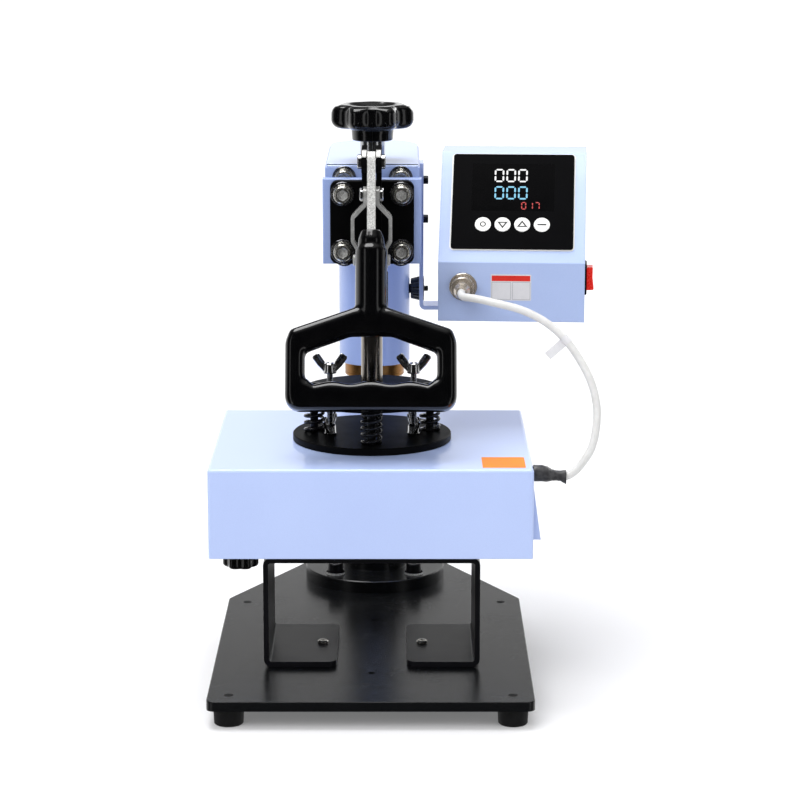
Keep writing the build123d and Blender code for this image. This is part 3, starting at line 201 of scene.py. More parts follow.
finishes = {
    # powder coat baked on folded sheet: an even colour, with an orange peel about 1 mm wide
    # that softens what it mirrors, under a thin clear gloss
    "bluePowderCoat": {"tone": "#B4C5EE", "shade": "#AFC0EA", "rough": (0.28, 0.36),
                       "patch": 90.0, "grain": 1.1, "edge": 1.3, "coat": 0.4},
    # the same coat on the console, painted a little greyer and darker as shade
    "consoleShadedPowderCoat": {"tone": "#A9BAE1", "shade": "#A3B5DD", "rough": (0.28, 0.36),
                          "patch": 70.0, "grain": 1.1, "edge": 1.2, "coat": 0.4},
    # the same coat on arm and sleeve, painted a deeper blue as shade, with rounder edges
    "armShadedPowderCoat": {"tone": "#98ACDD", "shade": "#91A5D8", "rough": (0.28, 0.36),
                      "patch": 70.0, "grain": 1.1, "edge": 1.8, "coat": 0.4},
    # fine-texture powder coat on thick plate: near black, grey where it mirrors the room flatly
    "texturedPowderCoat": {"tone": "#0E0F11", "shade": "#0B0C0E", "rough": (0.2, 0.28),
                           "patch": 50.0, "grain": 0.7, "depth": 0.05, "edge": 0.6},
    # the same coat on bent 5 mm sheet: a softer, weaker sheen
    "standPowderCoat": {"tone": "#16161A", "shade": "#121215", "rough": (0.3, 0.38),
                        "patch": 50.0, "grain": 0.7, "depth": 0.05, "edge": 0.8, "shine": 0.22},
    # satin enamel on castings and turned discs: deep black that hardly mirrors
    "satinEnamel": {"tone": "#09090A", "shade": "#060607", "rough": (0.4, 0.5), "patch": 30.0,
                    "edge": 0.4, "shine": 0.05},
    # matt enamel brushed over the foot screws together with the plate: no sheen at all
    "mattEnamel": {"tone": "#0B0B0C", "shade": "#070708", "rough": (0.7, 0.8), "grain": 1.0},
    # moulded rubber: dull charcoal, lighter on worn edges
    "mouldedRubber": {"tone": "#151516", "shade": "#101011", "rough": (0.72, 0.86),
                      "grain": 0.5, "depth": 0.03, "edge": 0.5},
    # polyolefin tube shrunk by heat: charcoal with 3 mm wrinkles and a waxy sheen
    "heatShrink": {"tone": "#424244", "shade": "#2C2C2E", "rough": (0.36, 0.5), "patch": 6.0,
                   "grain": 3.0, "depth": 0.25},
    # bright zinc plate on screws and rods: a cold, slightly cloudy mirror
    "zincPlate": {"tone": "#B4B6BA", "shade": "#9C9EA3", "rough": (0.2, 0.32), "metal": 1.0,
                  "patch": 4.0, "grain": 0.5, "depth": 0.006, "edge": 0.3},
    # tumbled and plated lever steel: pale, with a salt-and-pepper speckle about 1 mm wide
    "tumbledSteel": {"tone": "#E8E8E6", "shade": "#929290", "rough": (0.4, 0.6), "metal": 0.35,
                     "patch": 1.2, "grain": 0.7, "depth": 0.04, "along": (1, 1, 0.3),
                     "edge": 0.6},
    # centreless-ground ram: a warm grey mirror with lines round it
    "groundSteel": {"tone": "#A59F98", "shade": "#8D8780", "rough": (0.12, 0.2), "metal": 1.0,
                    "patch": 20.0, "depth": 0.003, "along": (1, 1, 40), "edge": 0.3},
    # turned and polished tube: a bright mirror with lines round it
    "turnedSteel": {"tone": "#C9CBCE", "shade": "#B2B4B8", "rough": (0.1, 0.2), "metal": 1.0,
                    "patch": 20.0, "depth": 0.003, "along": (1, 1, 40), "edge": 0.3},
    # handled nickel on the connector: warm, half dull, with cloudy spots
    "wornNickel": {"tone": "#D2C8BB", "shade": "#ADA294", "rough": (0.16, 0.3), "metal": 0.7,
                   "patch": 4.0, "grain": 0.8, "depth": 0.012, "edge": 0.4},
    # bright nickel on pins and wing nuts: a clean mirror with soft edges
    "nickelPlate": {"tone": "#DADADB", "shade": "#C6C7C9", "rough": (0.08, 0.16), "metal": 1.0,
                    "patch": 8.0, "grain": 1.2, "depth": 0.012, "edge": 0.8},
    # black oxide on bolts: dark, oily metal
    "blackOxide": {"tone": "#232327", "shade": "#18181B", "rough": (0.28, 0.4), "metal": 0.7,
                   "patch": 4.0, "grain": 0.4, "depth": 0.006, "edge": 0.3},
    # turned stainless screw heads: bright with rounded, sparkling rims
    "stainlessSteel": {"tone": "#DDDBD4", "shade": "#B4B2AB", "rough": (0.12, 0.24),
                       "metal": 0.94, "patch": 3.0, "edge": 1.0},
    # oiled spring washers: the same shape of gleam, but darker
    "oiledSteel": {"tone": "#8C8C90", "shade": "#606064", "rough": (0.16, 0.3), "metal": 1.0,
                   "patch": 3.0, "edge": 1.0},
    # stamped and bent link steel: satin with edges that catch the light
    "stampedSteel": {"tone": "#DEDEDC", "shade": "#B5B5B3", "rough": (0.16, 0.28),
                     "metal": 0.6, "patch": 6.0, "grain": 0.9, "edge": 1.4},
    # hardened coils, blued and oiled: almost black with thin bright lines
    "springSteel": {"tone": "#1B1B1E", "shade": "#111113", "rough": (0.2, 0.32), "metal": 0.3,
                    "patch": 6.0, "coat": 0.3},
    # pressed bronze bushes: brown gold, soaked with oil
    "sinteredBronze": {"tone": "#A87B45", "shade": "#8A5F33", "rough": (0.28, 0.42),
                       "metal": 1.0, "patch": 6.0, "depth": 0.006, "edge": 0.3},
    # sand-cast aluminium: pale grey, pitted about 1 mm wide
    "castAluminium": {"tone": "#A9ABAD", "shade": "#96989B", "rough": (0.34, 0.5),
                      "metal": 1.0, "patch": 12.0, "grain": 1.2, "depth": 0.02, "edge": 0.5},
    # moulded phenolic knobs and grip: black with a wet gloss and faint 12 mm waves
    "mouldedPhenolic": {"tone": "#050506", "shade": "#030304", "rough": (0.14, 0.2),
                        "patch": 30.0, "grain": 12.0, "depth": 0.03, "edge": 0.4,
                        "coat": 0.5, "shine": 0.3},
    # printed polyester film of the panel: flat black that mirrors next to nothing
    "polyesterFilm": {"tone": "#060608", "shade": "#040405", "rough": (0.3, 0.38),
                      "patch": 30.0, "grain": 0.3, "depth": 0.004, "edge": 0.4, "shine": 0.02},
    # smoked acrylic window: blacker than the film round it
    "smokedAcrylic": {"tone": "#020203", "shade": "#010102", "rough": (0.2, 0.3),
                      "patch": 20.0, "grain": 10.0, "depth": 0.002, "shine": 0.02},
    # moulded ABS keys: plain white with a soft sheen
    "mouldedAbs": {"tone": "#E6E6E4", "shade": "#DCDCDA", "rough": (0.3, 0.4), "patch": 6.0,
                   "grain": 0.4, "depth": 0.004, "edge": 0.3},
    # tinted polycarbonate rocker: red that glows a little from inside
    "tintedPolycarbonate": {"tone": "#FF2008", "shade": "#F81A06", "rough": (0.24, 0.32),
                            "patch": 8.0, "grain": 2.0, "depth": 0.006, "edge": 0.6,
                            "coat": 0.2, "glow": 0.1},
    # silicone jacket drawn over the cores: off-white, slightly soft inside
    "siliconeJacket": {"tone": "#D2D2D1", "shade": "#C9C9C8", "rough": (0.34, 0.46),
                       "patch": 12.0, "grain": 4.0, "depth": 0.04, "glow": 0.03},
    # foamed silicone sheet: brick red and dry, with 1.4 mm cells
    "siliconeSponge": {"tone": "#A2402F", "shade": "#8C352B", "rough": (0.7, 0.85),
                       "patch": 20.0, "grain": 1.4, "depth": 0.12, "edge": 0.8},
    # pressed mineral wool board: straw grey, its fibres lying flat in layers
    "mineralWool": {"tone": "#CDC6B2", "shade": "#B7AF98", "rough": (0.85, 0.95),
                    "patch": 12.0, "grain": 1.0, "depth": 0.2, "along": (1, 4, 8), "edge": 0.6},
    # matt vinyl labels: a cool, flat white
    "whiteVinyl": {"tone": "#CFCFD2", "shade": "#C6C6CA", "rough": (0.5, 0.6)},
    # glossier signal vinyl on the cover: strong orange
    "orangeVinyl": {"tone": "#E88A00", "shade": "#E07600", "rough": (0.34, 0.42),
                    "depth": 0.004, "shine": 0.2},
    # screen inks: flat colour, smoother than what they are printed on
    "redInk": {"tone": "#D8230F", "shade": "#C91E0D", "rough": (0.36, 0.44), "patch": 8.0,
               "depth": 0.004},
    "greyInk": {"tone": "#8E9199", "shade": "#83868E", "rough": (0.4, 0.5), "patch": 8.0,
                "depth": 0.004},
    # the black ink also paints the shadow in the lid's seam
    "blackInkAndShadow": {"tone": "#1B1B1D", "shade": "#121214", "rough": (0.4, 0.5), "patch": 6.0,
                 "depth": 0.004},
}

noiseSpan = (0.35, 0.65)  # where nearly all of the mixed noise lies


def makeFinish(name, facts):
    facts = {**plainFinish, **facts}
    material, tree = emptyMaterial(name)
    coords = addNode(tree, "TexCoord").outputs["Object"]
    stretch = addNode(tree, "Mapping", {"Vector": coords, "Scale": facts["along"]})
    patch = addNode(tree, "TexNoise", {"Vector": coords, "Scale": 1000 / facts["patch"],
                                       "Detail": 3.0})
    grain = addNode(tree, "TexNoise", {"Vector": stretch.outputs["Vector"],
                                       "Scale": 1000 / facts["grain"], "Detail": 2.0})
    both = addNode(tree, "Math", {0: patch.outputs["Fac"], 1: grain.outputs["Fac"]},
                   operation="ADD")
    level = addNode(tree, "MapRange", {"Value": both.outputs["Value"],
                                       "From Min": 2 * noiseSpan[0],
                                       "From Max": 2 * noiseSpan[1]}).outputs["Result"]
    tone = addNode(tree, "Mix", {0: level, 6: linear(facts["shade"]), 7: linear(facts["tone"])},
                   data_type="RGBA")
    gloss = addNode(tree, "MapRange", {"Value": level, "To Min": facts["rough"][0],
                                       "To Max": facts["rough"][1]})
    relief = addNode(tree, "Bump", {"Height": grain.outputs["Fac"], "Strength": 1.0,
                                    "Distance": facts["depth"] / 1000})
    if facts["edge"]:
        edge = addNode(tree, "Bevel", {"Radius": facts["edge"] / 1000}, samples=4)
        tree.links.new(edge.outputs["Normal"], relief.inputs["Normal"])
    shader = addNode(tree, "BsdfPrincipled", {
        "Base Color": tone.outputs[2], "Roughness": gloss.outputs["Result"],
        "Metallic": facts["metal"], "Specular IOR Level": facts["shine"],
        "Coat Weight": facts["coat"], "Coat Roughness": 0.06,
        "Subsurface Weight": facts["glow"], "Subsurface Radius": (1.0, 0.8, 0.6),
        "Subsurface Scale": 0.002, "Normal": relief.outputs["Normal"]})
    addNode(tree, "OutputMaterial", {"Surface": shader.outputs["BSDF"]})
    return material


# light-emitting digits behind a diffuser with a 1.1 mm grain: even colour, barely mottled
litFacts = {
    "litWhite": {"tone": "#FFFFFF", "strength": 1.0, "grain": 1.1, "body": "#202022"},
    "litCyan": {"tone": "#7FD3F5", "strength": 1.0, "grain": 1.1, "body": "#202022"},
    "litRed": {"tone": "#E0261C", "strength": 0.9, "grain": 1.1, "body": "#202022"},
}


def makeLit(name, facts):
    material, tree = emptyMaterial(name)
    coords = addNode(tree, "TexCoord").outputs["Object"]
    dots = addNode(tree, "TexNoise", {"Vector": coords, "Scale": 1000 / facts["grain"],
                                      "Detail": 1.0})
    level = addNode(tree, "MapRange", {"Value": dots.outputs["Fac"],
                                       "To Min": 0.9 * facts["strength"],
                                       "To Max": facts["strength"]})
    shader = addNode(tree, "BsdfPrincipled", {
        "Base Color": linear(facts["body"]), "Roughness": 0.3,
        "Emission Color": linear(facts["tone"]), "Emission Strength": level.outputs["Result"]})
    addNode(tree, "OutputMaterial", {"Surface": shader.outputs["BSDF"]})
    return material


finish = {name: makeFinish(name, facts) for name, facts in finishes.items()}
finish.update({name: makeLit(name, facts) for name, facts in litFacts.items()})

nodeFinish = {
    "bluePowderCoat": ["head_cover", "arm_lid", "console_strap"],
    # the console takes the blue coat darkened as painted shade
    "consoleShadedPowderCoat": ["console_shell", "console_back"],
    # arm, plates and sleeve take the blue coat darkened as painted shade
    "armShadedPowderCoat": ["arm_box", "nose_plate", "front_plate", "swing_sleeve"],
    "texturedPowderCoat": ["base_plate", "post_flange", "slide_block"],
    "standPowderCoat": ["stand"],
    "satinEnamel": ["clamp_body", "upper_disc", "lower_disc"],
    "mouldedRubber": ["rubber_feet"],
    "heatShrink": ["cable_sleeve"],
    "zincPlate": ["base_screws", "head_studs"],
    "turnedSteel": ["post", "screw_bush", "pressure_screw"],
    "groundSteel": ["plunger"],
    "tumbledSteel": ["lever"],
    "wornNickel": ["head_socket", "cable_plug"],
    "blackOxide": ["flange_bolts", "strap_screws", "plunger_nut", "guide_bolts"],
    "stainlessSteel": ["nose_screws", "clamp_screws"],
    "sinteredBronze": ["sleeve_bushes"],
    "stampedSteel": ["toggle_links"],
    "nickelPlate": ["frame_pin", "crank_pin", "wing_nut_upper_left", "wing_nut_upper_right",
                    "wing_nut_lower_left", "wing_nut_lower_right"],
    "mouldedPhenolic": ["swing_lock_knob", "mains_inlet", "pressure_knob", "grip", "die_knob"],
    "polyesterFilm": ["control_panel", "power_bezel"],
    "smokedAcrylic": ["display_window"],
    "mouldedAbs": ["button_set", "button_down", "button_up", "button_clear"],
    "tintedPolycarbonate": ["power_rocker"],
    "siliconeJacket": ["cable"],
    "springSteel": ["disc_springs"],
    "castAluminium": ["heater_die", "lower_form"],
    "siliconeSponge": ["form_pad"],
    "mineralWool": ["heater_wool"],
}


def dressNodes(table):
    for name, members in table.items():
        for member in members:
            slots = nodes[member].material_slots
            for slot in slots:
                slot.material = finish[name]
            if not slots:
                nodes[member].data.materials.append(finish[name])


dressNodes(nodeFinish)
cable.data.materials.append(finish["siliconeJacket"])
print("materials on", sum(len(members) for members in nodeFinish.values()), "nodes")


# mesh helpers; a shape is its points in millimetres and its faces

def makePiece(name, shape, material, body, node=None, smooth=False, tidy=False):
    verts, faces = shape
    mesh = bpy.data.meshes.new(name)
    mesh.from_pydata([tuple(row(*vert)) for vert in verts], [], faces)
    mesh.validate()
    for face in mesh.polygons:
        face.use_smooth = smooth
    mesh.materials.append(finish[material])
    piece = linkObject(name, mesh)
    if tidy:
        tidyNormals(piece)
    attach(piece, body)
    if node:
        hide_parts(node)
    return piece


def moved(shape, matrix):
    return [matrix @ vert for vert in shape[0]], shape[1]


def joined(shapes):
    verts, faces = [], []
    for some, others in shapes:
        base = len(verts)
        verts += some
        faces += [tuple(base + k for k in face) for face in others]
    return verts, faces


def turnsOf(count):
    return [2 * math.pi * i / count for i in range(count)]


def loft(rings, caps=True, closed=False):
    # joins rings of as many points each, then caps both ends or comes back to the first ring
    size = len(rings[0])
    verts = [Vector(point) for ring in rings for point in ring]
    faces = []
    for k in range(len(rings) if closed else len(rings) - 1):
        near, far = k * size, (k + 1) % len(rings) * size
        for i in range(size):
            after = (i + 1) % size
            faces.append((near + i, near + after, far + after, far + i))
    if caps and not closed:
        faces.append(tuple(reversed(range(size))))
        faces.append(tuple(range(len(verts) - size, len(verts))))
    return verts, faces


def arc(middle, height, radius, start, stop, count):
    # profile points on a circle, with angles in degrees from straight out
    turns = [math.radians(start + (stop - start) * i / count) for i in range(count + 1)]
    return [(middle + radius * math.cos(t), height + radius * math.sin(t)) for t in turns]


def lathe(profile, steps, edge=None, fromRadius=0.0):
    # turns (radius, height) points about Z, from the top's axis to the bottom's; edge gives
    # the rim's true radius at each step, which counts in full there and not at fromRadius
    reach = max(r for r, _ in profile)
    rings = []
    for r, z in reversed(profile[1:-1]):
        share = max(0.0, (r - fromRadius) / (reach - fromRadius)) if edge else 0
        cuts = [share * (reach - rim) for rim in edge] if edge else [0] * steps
        rings.append([((r - cut) * math.cos(turn), (r - cut) * math.sin(turn), z)
                      for turn, cut in zip(turnsOf(steps), cuts)])
    verts, faces = loft(rings, caps=False)
    low, high, last = len(verts), len(verts) + 1, len(verts) - steps
    verts += [Vector((0, 0, profile[-1][1])), Vector((0, 0, profile[0][1]))]
    for i in range(steps):
        after = (i + 1) % steps
        faces += [(low, after, i), (high, last + i, last + after)]
    return verts, faces


def lobedEdge(facts):
    # radius of a rim with round hollows cut in it, eased at the corners
    pitch = 2 * math.pi / facts["lobes"]
    raw = []
    for turn in turnsOf(facts["steps"]):
        off = (turn - math.radians(facts["turn"]) + pitch / 2) % pitch - pitch / 2
        aside = facts["centre"] * math.sin(off)
        near = facts["reach"]
        if abs(aside) < facts["hollow"]:
            near = facts["centre"] * math.cos(off) - math.sqrt(facts["hollow"] ** 2 - aside ** 2)
        raw.append(min(facts["reach"], near))
    ease, steps = facts["ease"], facts["steps"]
    return [sum(raw[(i + k) % steps] for k in range(-ease, ease + 1)) / (2 * ease + 1)
            for i in range(steps)]


# pressure knob on top, with seven lobes; its profile runs from the top's middle round the rim
# and up the bore

knobFacts = {"reach": 42.0, "hollow": 14.0, "centre": 48.0, "lobes": 7, "turn": -90.0, "ease": 7,
             "steps": 336, "low": 525.0, "rimLow": 537.5, "top": 561.0, "solid": 23.0,
             "place": (0.0, 282.0, 0.0)}


def makePressureKnob(facts):
    low, rim, top = facts["low"], facts["rimLow"], facts["top"]
    profile = [(0, top - 2.6), (8.6, top - 2.6)] + arc(8.6, top - 3.6, 1.0, 90, 0, 3)
    profile += [(9.8, top - 4.6), (16.5, top - 4.4), (20.5, top - 2.9), (24.0, top - 0.9)]
    profile += arc(26.8, top - 2.6, 2.6, 115, 90, 3) + arc(30.5, top - 9.5, 9.5, 90, 60, 4)
    profile += arc(32.5, top - 9.4, 9.3, 55, 0, 8) + arc(32.7, rim + 9.2, 9.2, 0, -90, 10)
    profile += [(26, rim), (23.2, rim), (21.7, rim - 0.6), (21.2, rim - 2.2), (20.9, rim - 6)]
    profile += arc(19.3, low + 1.2, 1.2, 0, -90, 4) + [(9, low), (8.2, low), (8.15, low + 18)]
    profile += [(0, low + 18)]
    shape = lathe(profile, facts["steps"], lobedEdge(facts), facts["solid"])
    makePiece("pressureKnobGrip", moved(shape, Matrix.Translation(facts["place"])),
              "mouldedPhenolic", "pressure", "pressure_knob", smooth=True)


makePressureKnob(knobFacts)


# die clamp knob under the cover, on its stud

dieKnobFacts = {"reach": 17.0, "hollow": 7.0, "centre": 20.5, "lobes": 6, "turn": 30.0, "ease": 6,
                "steps": 240, "low": 140.6, "high": 154.6, "stud": 4.0, "studTop": 173.5,
                "solid": 8.5, "place": (-124.6, 70.0, 0.0)}


def makeDieKnob(facts):
    low, high, stud, top = facts["low"], facts["high"], facts["stud"], facts["studTop"]
    profile = [(0, top), (stud - 0.6, top), (stud, top - 0.6), (stud, high)]
    profile += [(8, high), (12.5, high)] + arc(13.6, high - 3.2, 3.2, 80, 0, 6)
    profile += arc(13.6, low + 3.2, 3.2, 0, -90, 7) + [(9, low), (7, low + 0.8), (0, low + 0.8)]
    shape = lathe(profile, facts["steps"], lobedEdge(facts), facts["solid"])
    makePiece("dieClampKnob", moved(shape, Matrix.Translation(facts["place"])),
              "mouldedPhenolic", "die_clamp", "die_knob", smooth=True)


makeDieKnob(dieKnobFacts)


# swing lock knob with eight flutes, its axis along X

lockFacts = {"grip": 14.5, "small": 11.0, "large": 14.0, "nub": 3.0, "nubLength": 4.5,
             "flutes": 8, "fluteDepth": 1.1, "screw": 5.0, "screwLength": 8.7, "steps": 256,
             "place": (39.0, 439.0, 347.5)}


def makeSwingLock(facts):
    grip, small, large, nub = facts["grip"], facts["small"], facts["large"], facts["nub"]
    nose = grip + facts["nubLength"]
    profile = [(0, nose), (nub - 0.7, nose), (nub, nose - 0.7), (nub, grip + 0.3), (4.2, grip),
               (large - 2.2, grip)] + arc(large - 1.6, grip - 1.6, 1.6, 80, 0, 5)
    profile += [(large - (large - small) * k / 6, grip - 1.6 - (grip - 2.4) * k / 6)
                for k in range(1, 6)]
    profile += [(small + 0.1, 0.8), (small - 0.6, 0.15), (small - 2, 0), (facts["screw"], 0),
                (facts["screw"], -facts["screwLength"]), (0, -facts["screwLength"])]
    verts, faces = lathe(profile, facts["steps"])
    for vert in verts:
        r = math.hypot(vert.x, vert.y)
        if r > small * 0.8 and vert.z > 0.1:
            wave = 0.5 + 0.5 * math.cos(math.atan2(vert.y, vert.x) * facts["flutes"])
            vert.xy *= (r - facts["fluteDepth"] * wave ** 3) / r
    aside = Matrix(((0, 0, 1), (1, 0, 0), (0, 1, 0))).to_4x4()
    shape = moved((verts, faces), Matrix.Translation(facts["place"]) @ aside)
    makePiece("swingLockGrip", shape, "mouldedPhenolic", "swing_lock",
              "swing_lock_knob", smooth=True)


makeSwingLock(lockFacts)
print("knobs made")


# wing nuts: a domed hub with two rounded tabs that slant up and out

wingFacts = {"hubWide": 6.5, "hubTall": 10.6, "bore": 2.4, "tabStart": 4.0, "tabReach": 15.8,
             "tabRise": 18.6, "tabWide": 8.0, "tabThick": 2.3, "dish": 0.5, "rows": 20,
             "columns": 10, "steps": 64,
             "places": [("upper", "left", (-41, 165, 309.5), 0),
                        ("upper", "right", (41, 165, 309.5), 0),
                        ("lower", "left", (-41, 165, 248.5), 70),
                        ("lower", "right", (41, 165, 248.5), -70)]}


def wingTab(facts, side):
    # rings square to the tab's length, whose middle is dished on both faces
    start = Vector((facts["tabStart"], 0, 3.0))
    tip = Vector((facts["tabReach"] - 3.0, 0, facts["tabRise"] - 3.0))
    along = (tip - start).normalized()
    across = Vector((-along.z, 0, along.x))
    length = (tip - start).length + 3.0
    rings = []
    for i in range(facts["rows"] + 1):
        u = i / facts["rows"]
        # the root narrows into the hub and the tip is rounded
        endRound = max(0.0, u * length - (length - 2.6)) / 2.6
        wide = facts["tabWide"] / 2 * min(1.0, 0.62 + 0.9 * u)
        wide *= math.sqrt(max(0.02, 1 - 0.55 * endRound ** 2.5))
        ring = []
        for face in (1, -1):
            for j in range(facts["columns"] + 1):
                w = face * (2 * j / facts["columns"] - 1)
                eased = max(0.0, 1 - max(w ** 6, (2 * u - 1) ** 14 if u > 0.5 else 0))
                rim = 1 - facts["dish"] * math.exp(-((w / 0.62) ** 4) - ((u - 0.62) / 0.3) ** 4)
                thick = facts["tabThick"] / 2 * (0.55 + 0.45 * math.sqrt(eased)) * rim
                thick += 0.9 * max(0.0, 0.3 - u) / 0.3
                spot = start + along * (u * length) + across * (w * wide)
                ring.append((side * spot.x, face * thick, spot.z))
        rings.append(ring)
    return loft(rings)


def makeWingNut(facts, level, hand, place, turn):
    wide, tall, bore = facts["hubWide"], facts["hubTall"], facts["bore"]
    profile = [(0, tall - 1.2), (bore, tall - 1.2), (bore, tall - 0.5)]
    profile += arc(bore + 0.2, tall - 3.4, 3.2, 84, 20, 8)
    profile += [(wide - 0.5, 2.6), (wide, 1.6), (wide, 0.5), (wide - 0.5, 0), (bore + 0.4, 0),
                (0, 0)]
    shape = joined([lathe(profile, facts["steps"]), wingTab(facts, 1), wingTab(facts, -1)])
    matrix = Matrix.Translation(place) @ Matrix.Rotation(math.radians(turn), 4, "Z")
    makePiece(level + "Wing" + hand.capitalize(), moved(shape, matrix), "nickelPlate",
              level + "_wing_" + hand, "wing_nut_" + level + "_" + hand, smooth=True,
              tidy=True)


for level, hand, place, turn in wingFacts["places"]:
    makeWingNut(wingFacts, level, hand, place, turn)
print("wing nuts made")


# pieces copied from a CAD node, keeping only some of it

def fromNode(node, keep, shape=None):
    mesh = nodes[node].data
    spots = [drawn(vert.co) for vert in mesh.vertices]
    chosen = [keep(spot) for spot in spots]
    order, verts, faces = {}, [], []
    for face in mesh.polygons:
        if all(chosen[i] for i in face.vertices):
            for i in face.vertices:
                if i not in order:
                    order[i] = len(verts)
                    verts.append(shape(spots[i]) if shape else spots[i])
            faces.append(tuple(order[i] for i in face.vertices))
    return verts, faces


# threaded studs for the upper wing nuts, and the hangers inside the cover

studFacts = {"places": [(-41.0, 165.0), (41.0, 165.0)], "low": 241.5, "high": 318.6, "radius": 3.0,
             "pitch": 1.0, "depth": 0.32, "chamfer": 0.8, "around": 24, "perPitch": 4}


def threadedRod(facts, spot):
    # the radius follows a helix, so that the thread shows in the outline
    low, high, around = facts["low"], facts["high"], facts["around"]
    count = int((high - low) / facts["pitch"] * facts["perPitch"])
    rings = []
    for k in range(count + 1):
        z = low + (high - low) * k / count
        ring = []
        for i, turn in enumerate(turnsOf(around)):
            wave = ((z - low) / facts["pitch"] - i / around) % 1.0
            cut = max(facts["depth"] * (1 - abs(2 * wave - 1)), facts["chamfer"] - (high - z))
            r = facts["radius"] - cut
            ring.append((spot[0] + r * math.cos(turn), spot[1] + r * math.sin(turn), z))
        rings.append(ring)
    return loft(rings)


def makeStuds(facts):
    hangers = fromNode("head_studs", lambda spot: spot.z < facts["low"] - 0.5)
    shape = joined([threadedRod(facts, spot) for spot in facts["places"]] + [hangers])
    makePiece("headStuds", shape, "zincPlate", "head", "head_studs")


makeStuds(studFacts)


# screws of the base: dark flat heads in the corners, bright ones on the stand and the form

screwFacts = {"baseTop": 27.5, "cornerX": 134.7, "frontY": 20.7, "rearY": 331.0, "narrow": 0.72,
              "flat": 0.16}


def isCorner(spot):
    return abs(spot.x) > 120 or spot.y > 450


def sunkHead(spot):
    top = screwFacts["baseTop"]
    if spot.z <= top + 0.01:
        return spot
    middle = Vector((math.copysign(screwFacts["cornerX"], spot.x),
                     screwFacts["frontY"] if spot.y < 200 else screwFacts["rearY"]))
    flat = middle + (spot.xy - middle) * screwFacts["narrow"]
    return Vector((flat.x, flat.y, top + (spot.z - top) * screwFacts["flat"]))


makePiece("footScrews", fromNode("base_screws", isCorner, sunkHead), "mattEnamel", "base",
          "base_screws")
makePiece("standScrews", fromNode("base_screws", lambda spot: not isCorner(spot)),
          "stainlessSteel", "base", "base_screws")


# bolts of the post's flange: black heads on bright washers

boltFacts = {"middle": 439.0, "circle": 60.0, "flangeTop": 40.3, "washerTop": 42.52, "shank": 4.9,
             "head": 8.2}


def isWasher(spot):
    reach = boltFacts["circle"] * math.sqrt(0.5)
    out = math.hypot(abs(spot.x) - reach, abs(spot.y - boltFacts["middle"]) - reach)
    level = boltFacts["flangeTop"] < spot.z < boltFacts["washerTop"]
    return level and out > boltFacts["shank"] or out > boltFacts["head"]


def isBolt(spot):
    return not isWasher(spot) or spot.z > boltFacts["washerTop"] - 0.12


makePiece("flangeWashers", fromNode("flange_bolts", isWasher), "tumbledSteel", "base",
          "flange_bolts")
makePiece("flangeBolts", fromNode("flange_bolts", isBolt), "blackOxide", "base",
          "flange_bolts")


# socket screws of the clamp's flange and of the arm's nose, each on a washer; washer and head
# are (radius, height) points

capFacts = {"steps": 72, "across": 8.6, "recess": 5.0, "shank": 6.0,
            "washer": [(12.0, 0.0), (12.0, 1.6), (11.4, 2.2), (10.3, 2.2), (10.2, 1.9),
                       (9.9, 1.9), (9.8, 2.4)],
            "head": [(9.0, 2.5), (9.0, 10.6), (8.8, 11.5), (8.3, 12.3), (7.6, 12.9), (6.8, 13.2)],
            "clamp": {"spots": [(-29, 421.5), (29, 421.5), (-29, 478.5), (29, 478.5)],
                      "face": 220.0, "reach": 18.0, "body": "carriage"},
            "nose": {"spots": [(-28.3, 411.9), (28.3, 411.9), (-28.3, 489.1), (28.3, 489.1)],
                     "face": 262.0, "reach": 24.0, "body": "arm"}}


def capScrew(facts, reach):
    turns, sector, top = turnsOf(facts["steps"]), math.pi / 3, facts["head"][-1][1]
    hexagon = [facts["across"] / 2 / math.cos((turn + sector / 2) % sector - sector / 2)
               for turn in turns]
    shank = [(facts["shank"], -reach), (facts["shank"], 0.0)]
    levels = [([r] * facts["steps"], z) for r, z in shank + facts["washer"] + facts["head"]]
    levels += [([r * wider for r in hexagon], z)
               for wider, z in ((1.1, top), (1.0, top - 0.5), (1.0, top - facts["recess"]))]
    return loft([[(r * math.cos(turn), r * math.sin(turn), z) for r, turn in zip(radii, turns)]
                 for radii, z in levels])


def makeCapScrews(name, node, facts, group):
    upright = Matrix.Rotation(math.radians(90), 4, "X")
    parts = [moved(capScrew(facts, group["reach"]),
                   Matrix.Translation((x, group["face"], z)) @ upright) for x, z in group["spots"]]
    screws = makePiece(name, joined(parts), "stainlessSteel", group["body"], node,
                       tidy=True)
    # the washers stay darker than the heads, and the sockets take the pale tumbled steel as a
    # painted highlight
    screws.data.materials.append(finish["oiledSteel"])
    screws.data.materials.append(finish["tumbledSteel"])
    split = facts["washer"][-1][1] + 0.02
    for face in screws.data.polygons:
        spot = drawn(face.center)
        out = min(math.hypot(spot.x - x, spot.z - z) for x, z in group["spots"])
        if group["face"] - spot.y < split:
            face.material_index = 1
        elif out < facts["across"] * 0.57:
            face.material_index = 2


makeCapScrews("clampCapScrews", "clamp_screws", capFacts, capFacts["clamp"])
makeCapScrews("noseCapScrews", "nose_screws", capFacts, capFacts["nose"])
print("screws made")


# lip of the lower bush, which shows under the sleeve, with a groove near its end

lipFacts = {"inner": 30.15, "outer": 31.9, "low": 254.5, "high": 269.2, "place": (0.0, 439.0),
            "steps": 128}


def makeBushLip(facts):
    inner, outer, low, high = facts["inner"], facts["outer"], facts["low"], facts["high"]
    outline = [(inner, high), (inner, low + 0.5), (inner + 0.5, low), (outer - 0.5, low),
               (outer, low + 0.5), (outer, low + 3.0), (outer - 0.35, low + 3.3),
               (outer - 0.35, low + 4.0), (outer, low + 4.3), (outer, high)]
    rings = [[(facts["place"][0] + r * math.cos(turn), facts["place"][1] + r * math.sin(turn), z)
              for r, z in outline] for turn in turnsOf(facts["steps"])]
    makePiece("bushLip", loft(rings, closed=True), "sinteredBronze", "arm", tidy=True)


makeBushLip(lipFacts)
